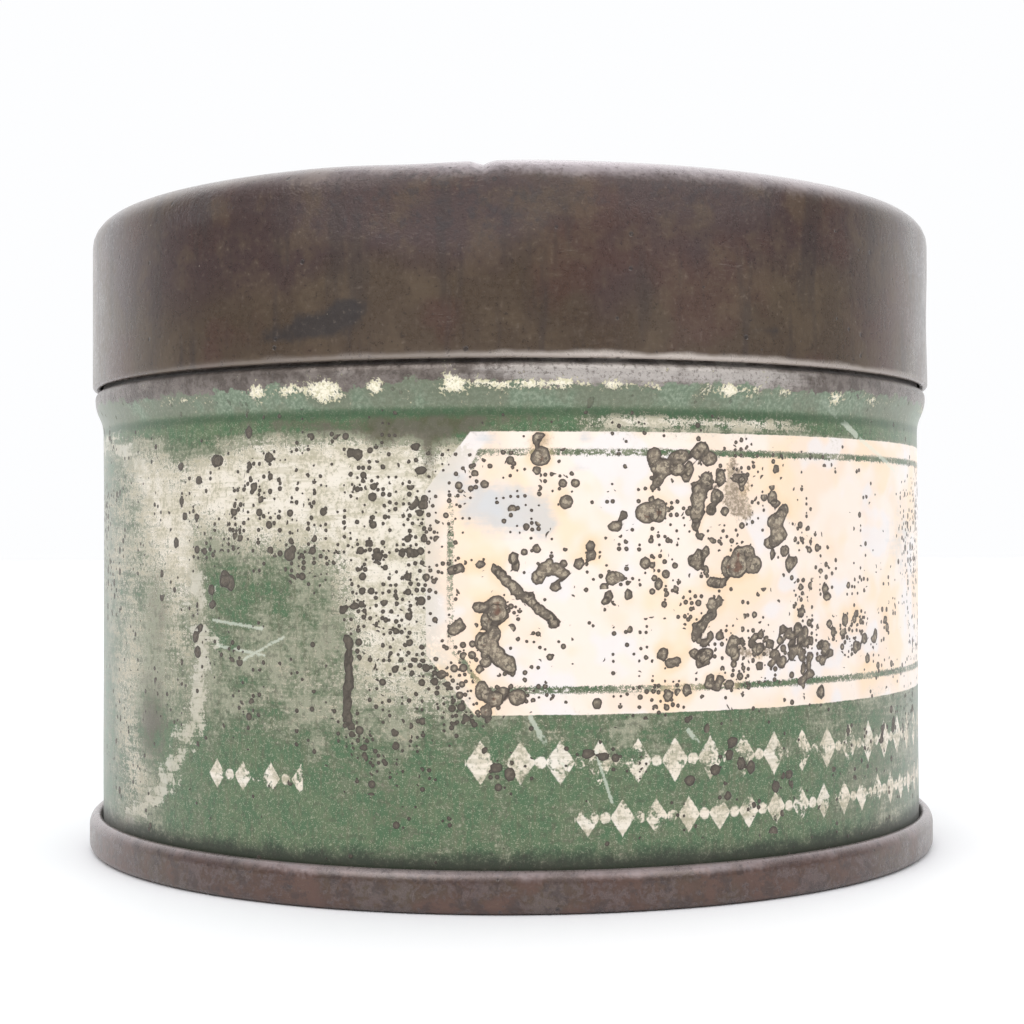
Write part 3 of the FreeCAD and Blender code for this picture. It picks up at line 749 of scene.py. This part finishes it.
    # Painted highlight: the top of the bead is painted light grey where light glints on it
    beadHighlight = (smudgeAndHighlight + (medium - 0.5) * 0.7 + (brushed - 0.5) * 0.8).rise(0.2, 0.9)
    oxide = s.mix(medium.rise(0.38, 0.6), "5f5650", "7b726c")
    oxide = s.mix(beadHighlight * 0.85, oxide, "bdb6b0")
    oxide = s.mix(fine.rise(0.52, 0.66) * 0.6, oxide, "4d4540")
    neck = (height + (medium - 0.5) * 1.4).rise(40.4, 41.4)      # kept brighter under the lid
    kept = s.mix((broad * 0.6 + upward * 0.4).rise(0.42, 0.56), "9c958b", "776b5d")
    kept = s.mix((upward * 0.6 + fine * 0.4).rise(0.53, 0.60) * 0.7, kept, "5a4636")
    oxide = s.mix(neck * 0.9, oxide, kept)
    colour = s.mix(bare, colour, oxide)
    lip = chipped * onBead
    colour = s.mix(lip, colour, s.mix(fine.rise(0.45, 0.65), "f4ecd6", "cfc8a6"))
    # Painted shade: the crease under the bead is painted dark green
    creaseShade = (height - 36.35).size().fall(0.10, 0.55)
    colour = s.mix(creaseShade * 0.60, colour, "2f4a2f")

    # The wall is painted darker just above the bottom seam, darkest against it
    darkAboveSeam = (height + (fine - 0.5) * 1.2 + (medium - 0.5) * 1.6).fall(3.4, 4.9)
    colour = s.mix(darkAboveSeam * 0.85, colour, "2e2f27")

    # Rust: large blisters where they are painted, and round spots of three sizes, thickest near them
    pox = s.painted("pox")
    crowd = (s.noise(3.5, 2) - 0.5) * 0.9
    spots = []
    for size, largest, share, wearShare, poxShare in spotSizes:
        away, chance, breadth = s.cells(size)
        wanted = pox * poxShare + crowd * 0.5 + wear * wearShare + share
        chosen = (wanted - chance).rise(0.0, 0.01)
        spots.append((breadth * 0.65 + 0.35) * largest - away + (fine - 0.5) * 0.10 - (1.0 - chosen) * 3)
    edge = (rust + (s.noise(0.6, 3, 0.55) - 0.5) * 0.16 - 0.02).most(*spots)
    blister = edge.rise(-0.02, 0.02)
    pale = edge.rise(0.10, 0.24) * (0.35 + inPanel * 0.65)
    rusted = s.mix(edge.rise(0.03, 0.09), "463c35", "6a6055")
    rusted = s.mix(pale * s.noise(1.1, 3).rise(0.36, 0.54) * 0.8, rusted, "928573")
    grit = s.noise(0.42, 3, 0.7).rise(0.47, 0.58)
    rusted = s.mix(pale * grit * 0.75, rusted, "c0b29b")
    rusted = s.mix(edge.rise(0.36, 0.52) * (medium + tinted).rise(1.04, 1.14) * 0.8, rusted, "6b4636")
    between = s.painted("rustBehind").size().fall(0.02, 0.09) * edge.rise(0.05, 0.10) \
        * medium.rise(0.40, 0.55)
    rusted = s.mix(between * 0.8, rusted, "40372f")
    rusted = s.mix(fine.rise(0.50, 0.64) * 0.5, rusted, "4a4037")
    rusted = s.mix(outer * 0.5, rusted, "47423a")
    tanned = (s.painted("tan") + (medium - 0.5) * 1.2 + (fine - 0.5) * 0.9).rise(0.36, 0.66)
    thinRust = s.mix(medium.rise(0.38, 0.58), "b3a38a", "8b7c68")
    thinRust = s.mix(grit * 0.6, thinRust, "73644f")
    colour = s.mix(tanned * (0.45 + fine.rise(0.40, 0.56) * 0.45), colour, thinRust)
    stain = rust.rise(-0.7, 0.0) * tinted.rise(0.50, 0.62) * inPanel
    colour = s.mix(stain * 0.35, colour, "ebc999")
    colour = s.mix(blister * (1.0 - bare) * (1.0 - onBead * 0.7), colour, rusted)

    # Bare sheet beside the lock seam, and dull tin with brown stains inside
    margin = besideLock * (1.0 - inside)
    tinned = s.mix(brushed.rise(0.42, 0.60), "8d8982", "6a6058")
    tinned = s.mix((medium + fine).rise(1.0, 1.2) * 0.8, tinned, "4f3d30")
    colour = s.mix(margin * (1.0 - bare), colour, tinned)
    tin = s.mix(broad.rise(0.4, 0.65), "8b867c", "6b5e4c")
    tin = s.mix(medium.rise(0.50, 0.66) * 0.7, tin, "4c3727")
    colour = s.mix(inside, colour, tin)

    metal = (bare * (1.0 - lip)).most(inside, margin) * 0.45
    roughness = 0.38 + (fine - 0.5) * 0.25 + blister * 0.30 + darkAboveSeam * 0.2 + (1.0 - green) * outer * 0.1 \
        - bare * 0.06
    relief = green * 0.014 + blister * (0.05 + (fine - 0.5) * 0.10) + lip * 0.03 + (medium - 0.5) * 0.03 \
        - scratches * 0.01 + bare * (fine - 0.5) * 0.05
    return s.finish(colour, roughness, relief, metal)


lid = {
    "columns": 480, "outerStep": 0.55, "innerStep": 1.4,
    "marksFrom": 34.0,          # the painted marks below keep outside this radius
    "corner": 2.2, "hemFold": 0.20, "hemHeight": 2.4,
    "topStep": 0.35, "topStepRadius": 31.0, "topStepWidth": 1.2,
    "wobble": 0.05,
    # Dents: place round, height, reach round, reach up, depth inwards and downwards
    "dents": [
        (-2.0, 54.6, 0.55, 1.1, 0.16, 0.30), (-7.0, 54.7, 4.5, 1.2, 0.04, 0.16),
        (13.5, 43.5, 2.0, 1.6, 0.10, 0.0), (-20.0, 47.0, 5.0, 3.5, 0.08, 0.0),
        (48.0, 46.0, 4.0, 3.0, 0.12, 0.0), (-70.0, 49.0, 5.0, 3.0, 0.12, 0.05),
    ],
}


# Dark blots, the places of the painted highlights on the shoulder and hem, and the pitted part of the
# shoulder, in the same form as the body's patches
blotPatches = [
    (-14.0, 42.9, 2.6, 1.0, 1.3), (-11.8, 44.0, 1.6, 0.9, 1.2), (-17.2, 42.2, 1.8, 0.6, 0.8),
    (18.8, 44.6, 1.0, 2.0, 0.5), (20.5, 42.6, 2.0, 0.6, 0.6), (3.0, 52.0, 5.0, 1.2, 0.35),
    (46.0, 46.0, 4.0, 2.5, 0.6), (-62.0, 48.0, 5.0, 3.0, 0.6), (90.0, 44.0, 6.0, 2.5, 0.7),
    (-100.0, 50.0, 6.0, 2.5, 0.6),
]
highlightPatches = [
    (9.0, 40.5, 13.0, 2.0, 1.2), (30.0, 40.5, 14.0, 2.0, 0.6), (-14.0, 40.5, 12.0, 2.0, 0.3),
    (75.0, 40.5, 20.0, 2.0, 0.8), (-70.0, 40.5, 20.0, 2.0, 0.8), (-110.0, 40.5, 12.0, 2.0, 0.6),
    (2.0, 54.5, 13.0, 3.0, 1.05), (24.0, 54.5, 12.0, 3.0, 0.6), (60.0, 54.5, 14.0, 3.0, 0.7),
    (95.0, 54.5, 16.0, 3.0, 0.6), (-62.0, 54.5, 15.0, 3.0, 0.7), (-100.0, 54.5, 14.0, 3.0, 0.6),
]
pitPatches = [
    (-6.0, 51.5, 9.0, 3.0, 1.0), (12.0, 52.6, 10.0, 1.8, 0.6), (-25.0, 52.5, 6.0, 1.5, 0.4),
    (70.0, 51.0, 14.0, 4.0, 0.9), (-80.0, 50.0, 16.0, 4.0, 0.8),
]


def lidShape(radius, turned, height):
    # Presses the dents in and makes the skirt slightly uneven
    around = turned * wallRadius
    for middle, level, wide, tall, inwards, down in lid["dents"]:
        apart = (around - middle + pi * wallRadius) % (2 * pi * wallRadius) - pi * wallRadius
        push = np.exp(-(apart / wide) ** 2 - ((height - level) / tall) ** 2) * (radius > 30)
        radius = radius - inwards * push
        height = height - down * push
    skirt = np.clip((radius - 30) / 7, 0, 1)
    radius = radius - lid["wobble"] * (1 + ripple(turned, height, 5, 21)) * skirt * 0.5
    return radius, turned, height


def makeLid(material):
    stepRadius, stepTurn = flankBends(lid["topStep"], lid["topStepWidth"])
    middleCorner = lid["corner"] - sheet / 2
    hemFoot = lid["hemFold"] + sheet / 2
    moves = [
        lid["topStepRadius"] - lid["topStepWidth"], (stepRadius, stepTurn), (stepRadius, -stepTurn),
        lidRadius - sheet / 2 - middleCorner - lid["topStepRadius"], (middleCorner, -90),
        lidTop - lid["corner"] - hemBottom - hemFoot, (lid["hemFold"], -180), lid["hemHeight"] - hemFoot,
    ]
    start = (0.0, lidTop - sheet / 2 - lid["topStep"])
    outline = stripOutline(start, 0, moves, lid["outerStep"], lid["innerStep"])
    angles = roundAngles(lid["columns"])
    piece, radius, turned, height = spin("lid_oxidised", outline, angles, lidShape, onAxis=True)
    skirt = radius > lid["marksFrom"]
    paintOn(piece, "blot", patches(turned * wallRadius, height, blotPatches) * skirt)
    paintOn(piece, "pits", patches(turned * wallRadius, height, pitPatches) * skirt)
    paintOn(piece, "highlightOnLid", patches(turned * wallRadius, height, highlightPatches) * skirt)
    finishPiece(piece, material, "lid", "lid_shell", slot="bare_tinplate")


def oxidisedTinplate(name, red, wornHighlightFrom, wornHighlightTo):
    # Old bare tinplate: brown, olive and purple-grey clouds, fine pits, flecks of dust and light scratches.
    # red shifts it to red-brown, and from the first given height up to the second it is rubbed to a lighter
    # grey that is also a painted highlight along that edge.
    s = Finish(name, Specular_IOR_Level=0.75, Sheen_Weight=0.06, Sheen_Roughness=0.30,
               Coat_Weight=0.20, Coat_Roughness=0.26)
    x, y, height = s.axes()
    blotted, pitted = s.painted("blot"), s.painted("pits")
    cloud, mottle, fine = s.noise(13.0, 3, 0.5), s.noise(3.2, 4, 0.6), s.noise(0.40, 4, 0.68)
    drawn = s.noise(3.0, 3, 0.6, (1.6, 1.6, 0.22))
    upper = (height.least(49.5) + (cloud - 0.5) * 30).rise(44.5, 50.5)
    colour = s.mix(upper, "493929", "412e2b")
    onTop = height.rise(53.5, 54.5)
    colour = s.mix(onTop * mottle.rise(0.36, 0.60) * 0.8, colour, "4c3b2c")
    colour = s.mix(onTop * s.noise(5.5, 5, 0.7).rise(0.46, 0.64) * 0.65, colour, "6a5d50")
    colour = s.mix((s.noise(8.0, 3) + red * 0.1).rise(0.50, 0.64) * 0.7, colour, "4a2f25")
    colour = s.mix(mottle.rise(0.46, 0.66) * 0.5, colour, "5a4934")
    colour = s.mix(drawn.rise(0.50, 0.68) * (0.5 - red * 0.35), colour, "332825")
    blot = (blotted * 0.9 + (s.noise(2.6, 5, 0.68) - 0.5) * 1.5).rise(0.22, 0.85)
    colour = s.mix(blot * 0.85, colour, "221a19")
    if red:
        colour = s.mix(mottle.rise(0.42, 0.62) * 0.6 * red, colour, "60413a")
        colour = s.mix((mottle + fine * 0.8).fall(0.78, 0.92) * 0.34 * red, colour, "75686a")
        colour = s.mix(s.noise(1.4, 4, 0.7).rise(0.52, 0.60) * 0.6 * red, colour, "392b29")
    fromAxis = (x * x + y * y).math("SQRT")
    # Painted highlight: the rubbed shoulder is painted light grey, strongest in the painted bright patches
    wornHighlight = (height + (mottle - 0.5) * 1.6 + (fine - 0.5) * 0.8).rise(wornHighlightFrom, wornHighlightTo)
    highlightOnLid = s.painted("highlightOnLid")
    wornHighlight = wornHighlight * (fromAxis + (mottle - 0.5) * 2.5).rise(34.6, 36.2) * (highlightOnLid + 0.15 + red * 0.40)
    colour = s.mix(wornHighlight * 0.8, colour, "b3a9ad")
    rubbedStep = (fromAxis - lid["topStepRadius"] + (mottle - 0.5) * 1.2).size().fall(0.2, 0.9) \
        * (cloud + fine).rise(0.86, 1.06)
    colour = s.mix(rubbedStep * 0.35, colour, "8f8580")
    # Painted highlight: a light band along the bottom of the hem, where it catches the floor's light
    hemHighlight = (height - hemBottom - 0.15 + (mottle - 0.5) * 0.8).size().fall(0.05, 0.50) * highlightOnLid
    colour = s.mix(hemHighlight * 0.85, colour, "b3a89f")
    away, chance, breadth = s.cells(1.1)
    pit = away.fall(breadth * 0.14, breadth * 0.26) * (0.20 - chance).rise(0.0, 0.02)
    colour = s.mix(pit * 0.7, colour, "231d1c")
    away, chance, breadth = s.cells(1.5)
    fleck = away.fall(breadth * 0.05, breadth * 0.09) * (0.16 - chance).rise(0.0, 0.02)
    colour = s.mix(fleck * 0.8, colour, "b3a793")
    colour = s.mix(fine.rise(0.58, 0.74) * 0.35, colour, "7b6c5e")
    colour = s.mix(fine.fall(0.28, 0.42) * 0.5, colour, "2a2322")
    hair = s.noise(1.6, 3, 0.6, (0.35, 0.35, 3.0), twist=0.8)
    hairline = (hair - 0.5).size().fall(0.001, 0.006) * s.noise(4.0, 2).rise(0.56, 0.66)
    colour = s.mix(hairline * 0.35, colour, "8b8076")
    grainy = (pitted + s.noise(7.0, 2) * 0.6 - 0.25).rise(0.1, 0.9)          # where the surface is roughest
    rough = s.noise(0.75, 3, 0.65)
    colour = s.mix(grainy * rough.rise(0.50, 0.62) * 0.5, colour, "2f2a2c")
    relief = (fine - 0.5) * (0.03 + grainy * 0.20) + grainy * (rough - 0.5) * 0.30 - pit * 0.03 + fleck * 0.02
    roughness = 0.31 + (fine - 0.5) * 0.3 + (mottle - 0.5) * 0.25 + blot * 0.1 + grainy * 0.08 - wornHighlight * 0.04
    return s.finish(colour, roughness, relief, 0.28 + (cloud - 0.5) * 0.2 + wornHighlight * 0.2)


seam = {
    "panelHeight": 3.0, "panelStep": 0.50, "panelStepRadius": 27.0, "panelStepWidth": 1.6, "panelBend": 0.8,
    "restWidth": 0.50, "shoulderRadius": 1.0, "shoulderTurn": 50.0, "height": 3.15,
    "dings": 0.035, "columns": 520, "step": 1.0,
}


def seamShape(radius, turned, height):
    # Small knocks round the outside of the seam, all inwards
    outside = np.clip((radius - rimRadius + 0.25) / 0.2, 0, 1)
    return radius - seam["dings"] * outside * (1 + ripple(turned, height, 24, 31)) * 0.6, turned, height


def makeBottom(material):
    chuck = wallRadius - sheet - seamPlay - sheet / 2
    coverHook = wallRadius + seamPlay + sheet / 2
    outerWall = rimRadius - sheet / 2
    baseBend = (outerWall - chuck - seam["restWidth"]) / 2
    turn = radians(seam["shoulderTurn"])
    shoulder = seam["shoulderRadius"]
    fold = (outerWall - coverHook - shoulder * (1 - np.cos(turn))) / (1 + np.cos(turn))
    shoulderStart = seam["height"] - sheet / 2 - shoulder * np.sin(turn) - fold * (1 - np.sin(turn))
    foldCentre = shoulderStart + (shoulder - fold) * np.sin(turn)
    stepRadius, stepTurn = flankBends(seam["panelStep"], seam["panelStepWidth"])
    moves = [
        seam["panelStepRadius"], (stepRadius, -stepTurn), (stepRadius, stepTurn),
        chuck - seam["panelBend"] - seam["panelStepRadius"] - seam["panelStepWidth"],
        (seam["panelBend"], -90),
        seam["panelHeight"] - seam["panelBend"] - baseBend, (baseBend, 90), seam["restWidth"], (baseBend, 90),
        shoulderStart - baseBend - sheet / 2, (shoulder, seam["shoulderTurn"]),
        (fold, 180 - seam["shoulderTurn"]),
        foldCentre - body["flangeTurn"],
    ]
    start = (0.0, seam["panelHeight"] + sheet / 2 + seam["panelStep"])
    outline = stripOutline(start, 0, moves, seam["step"], seam["step"])
    angles = roundAngles(seam["columns"])
    piece = spin("bottom_seamed", outline, angles, seamShape, onAxis=True)[0]
    finishPiece(piece, material, "tin", "bottom_end", slot="bare_tinplate")


polish = {
    "hollow": (5.0, -4.0), "hollowRadius": 45.0, "hollowDepth": 9.0,
    "swirl": 0.35, "lockDepth": 1.35, "columns": 360,
}


def polishShape(radius, turned, height):
    # Sinks the hollow in the top as part of a sphere, brushes ridges round it, and leaves the lock seam room
    top = highest("polish_cake", 2)
    x, y = radius * np.sin(turned), -radius * np.cos(turned)
    away = np.hypot(x - polish["hollow"][0], y - polish["hollow"][1])
    ball = polish["hollowRadius"]
    sphere = top + ball - polish["hollowDepth"] - np.sqrt(ball ** 2 - np.minimum(away, ball - 1) ** 2)
    ridges = polish["swirl"] * (np.sin(away * 1.1 + 2 * np.sin(turned)) - 1) * 0.5
    wornHighlight = np.minimum(top + 0.25 * (ripple(turned, radius, 7, 41) - 1.2) * 0.4, sphere + ridges * (away < 27))
    height = np.where(height > top - 0.01, np.minimum(wornHighlight, top), height)
    across = (pi - np.abs(turned)) * wallRadius * np.sign(turned)
    notch = np.interp(across, [-4.2, -3.4, 3.6, 4.4], [0, 1, 1, 0]) * polish["lockDepth"]
    return np.where(radius > 34.9, radius - notch, radius), turned, height


def makePolish(material):
    edge = highest("polish_cake", 0)
    top, bottom = highest("polish_cake", 2), lowest("polish_cake", 2)
    raised = seam["panelStepRadius"] + seam["panelStepWidth"] + 0.05
    outline = np.vstack([
        np.column_stack([np.linspace(0, edge, 110), np.full(110, top)]),
        np.column_stack([np.full(12, edge), np.linspace(top - 0.4, bottom, 12)]),
        [[raised, bottom], [raised, bottom + seam["panelStep"]], [0, bottom + seam["panelStep"]]],
    ])
    angles = roundAngles(polish["columns"])
    piece = spin("polish_dried", outline, angles, polishShape, onAxis=True)[0]
    finishPiece(piece, material, "tin", "polish_cake", slot="polish")


def driedPolish():
    # Dark brown wax with a scraped sheen, crazed by uneven cracks that fade in and out
    s = Finish("polish_dried_brown", Specular_IOR_Level=0.5, Coat_Weight=0.45, Coat_Roughness=0.30)
    mottle, fine, broad = s.noise(4.0, 4), s.noise(0.5, 4, 0.65), s.noise(9.0, 3)
    wander = (s.noise(1.6, 4, 0.65) - 0.5) * 2.6
    crack = (s.cells(9.5, "DISTANCE_TO_EDGE") + wander).size() + (fine - 0.5) * 0.2
    wideCracks = crack.fall(0.02, 0.20) * broad.rise(0.40, 0.55)
    hairCracks = (s.cells(2.8, "DISTANCE_TO_EDGE") + wander * 0.4).fall(0.0, 0.10) * mottle.rise(0.50, 0.62)
    colour = s.mix(mottle.rise(0.38, 0.64), "3a2114", "4f3020")
    colour = s.mix(broad.rise(0.48, 0.62) * 0.6, colour, "6d4a33")
    colour = s.mix(fine.rise(0.55, 0.72) * 0.4, colour, "7b5a43")
    colour = s.mix(wideCracks.most(hairCracks * 0.7), colour, "150b07")
    relief = (fine - 0.5) * 0.16 + (mottle - 0.5) * 0.35 - wideCracks * 0.6 - hairCracks * 0.25
    return s.finish(colour, 0.34 + (fine - 0.5) * 0.4 + wideCracks * 0.3, relief)


liner = {
    "rings": 60, "columns": 240, "softEdge": 0.12,
    "pressed": 0.06, "pressedRadius": 35.6, "pressedWidth": 0.5,    # the mark of the curled mouth
    "sag": 0.03,
}


def makeLiner(material):
    edge, top, bottom = highest("lid_liner", 0), highest("lid_liner", 2), lowest("lid_liner", 2)
    soft = liner["softEdge"]
    rings = np.linspace(0, edge - soft, liner["rings"])
    outline = np.vstack([
        np.column_stack([rings, np.full(len(rings), top)]),
        [[edge, top - soft], [edge, bottom + soft]],
        np.column_stack([rings[::-1], np.full(len(rings), bottom)]),
    ])

    def pressed(radius, turned, height):
        # The curled mouth has pressed a shallow ring into the underside, and the card sags in two waves
        ring = liner["pressed"] * np.exp(-((radius - liner["pressedRadius"]) / liner["pressedWidth"]) ** 2)
        sag = liner["sag"] * (1 + np.sin(2 * turned + radius * 0.1)) * np.clip(radius / 20, 0, 1)
        return radius, turned, np.where(height < (top + bottom) / 2, height + ring, height - sag)

    angles = roundAngles(liner["columns"])
    piece = spin("liner_card", outline, angles, pressed, onAxis=True)[0]
    finishPiece(piece, material, "liner", "lid_liner", slot="waxed_card")


def waxedCard():
    s = Finish("waxed_card_stained", Specular_IOR_Level=0.4)
    fibre, mottle = s.noise(0.35, 4, 0.7, (1, 0.35, 1)), s.noise(6.0, 4, 0.6)
    colour = s.mix(fibre.rise(0.4, 0.62), "b99f77", "a2885f")
    colour = s.mix(mottle.rise(0.48, 0.64), colour, "6d4b2f")
    colour = s.mix(s.noise(14.0, 3).rise(0.52, 0.60) * 0.7, colour, "3d2616")
    return s.finish(colour, 0.55 + (mottle - 0.5) * 0.5, (fibre - 0.5) * 0.05 + (mottle - 0.5) * 0.04)


def dullSolder():
    s = Finish("solder_dull", Specular_IOR_Level=0.5)
    flow, fine = s.noise(2.0, 3, 0.5, (1, 1, 0.3)), s.noise(0.3, 4)
    colour = s.mix(flow.rise(0.4, 0.6), "8c8a85", "615b54")
    colour = s.mix(fine.rise(0.56, 0.7) * 0.7, colour, "4a3a2e")
    relief = (flow - 0.5) * 0.08 + (fine - 0.5) * 0.03
    return s.finish(colour, 0.45 + (fine - 0.5) * 0.3, relief, 0.7 + (fine - 0.5) * 0.2)


def seamCompound():
    s = Finish("seam_compound_aged", Specular_IOR_Level=0.35)
    fine, mottle = s.noise(0.3, 4), s.noise(1.8, 3)
    colour = s.mix(mottle.rise(0.4, 0.62), "3b352c", "241f1a")
    return s.finish(colour, 0.7 + (fine - 0.5) * 0.3, (fine - 0.5) * 0.04)


def coverNode(name, material):
    piece = frame["nodes"][name]
    piece.data.materials.clear()
    piece.data.materials.append(material)


room = {
    "floorSize": 4.0, "floorLight": "f6f7fa", "floorLightest": "fcfcfe",
    "front": 0.37, "back": 1.27,        # brightness of the room in front of the tin, and of the backdrop
    "overhead": 0.75,                   # added straight above
    "softboxes": [                      # place, power in watts, size
        ((-0.30, -0.42, 0.48), 1.65, 0.45), ((0.40, -0.40, 0.42), 1.15, 0.45),
    ],
}
camera = {
    "place": (0.00013, -0.1699, 0.0273), "lens": 64.48, "pitch": 0.75, "roll": 0.16,
}


def makeRoom():
    bpy.ops.mesh.primitive_plane_add(size=room["floorSize"])
    floor = bpy.context.object
    floor.name = "floor"
    s = Finish("floor_pale")
    colour = s.mix(s.noise(200, 2), room["floorLight"], room["floorLightest"])
    s.finish(colour, 0.6 + s.noise(60, 2) * 0.1, s.noise(1.0, 2) * 0.002)
    floor.data.materials.append(s.material)

    world = bpy.data.worlds.new("studio")
    world.use_nodes = True
    bpy.context.scene.world = world
    tree = world.node_tree
    background = tree.nodes["Background"]
    direction = tree.nodes.new("ShaderNodeTexCoord")
    parts = tree.nodes.new("ShaderNodeSeparateXYZ")
    tree.links.new(direction.outputs["Generated"], parts.inputs[0])
    level = Amount(tree, parts.outputs[1]).rise(0.0, 0.75) * (room["back"] - room["front"]) + room["front"]
    level = level + Amount(tree, parts.outputs[2]).rise(0.30, 0.95) * room["overhead"]
    # Seen straight, the backdrop is plain
    seen = Amount(tree, tree.nodes.new("ShaderNodeLightPath").outputs["Is Camera Ray"])
    level = level * (1.0 - seen) + seen * 1.0
    tree.links.new(level.socket, background.inputs["Strength"])
    background.inputs["Color"].default_value = (0.985, 0.99, 1.0, 1.0)

    for place, power, size in room["softboxes"]:
        lamp = bpy.data.lights.new("softbox", "AREA")
        lamp.energy, lamp.size = power, size
        holder = bpy.data.objects.new("softbox", lamp)
        bpy.context.scene.collection.objects.link(holder)
        holder.location = place
        holder.rotation_euler = Vector(place).to_track_quat("Z", "Y").to_euler()

    view = bpy.context.scene.view_settings
    view.view_transform = "Standard"
    view.look = "None"


def makeCamera():
    lens = bpy.data.cameras.new("camera")
    lens.lens, lens.sensor_width = camera["lens"], 36
    lens.clip_start = 0.005
    holder = bpy.data.objects.new("camera", lens)
    bpy.context.scene.collection.objects.link(holder)
    holder.location = camera["place"]
    holder.rotation_euler = (radians(90 + camera["pitch"]), radians(camera["roll"]), 0)
    bpy.context.scene.camera = holder


makeCamera()
makeRoom()
print("room and camera made")
makeBody(printedTinplate())
makeLid(oxidisedTinplate("lid_oxidised_brown", red=0.0, wornHighlightFrom=53.1, wornHighlightTo=54.7))
makeBottom(oxidisedTinplate("seam_oxidised_red", red=1.0, wornHighlightFrom=2.3, wornHighlightTo=3.4))
makePolish(driedPolish())
makeLiner(waxedCard())
coverNode("side_seam_solder", dullSolder())
coverNode("bottom_seam_compound", seamCompound())
print("pieces and finishes made")
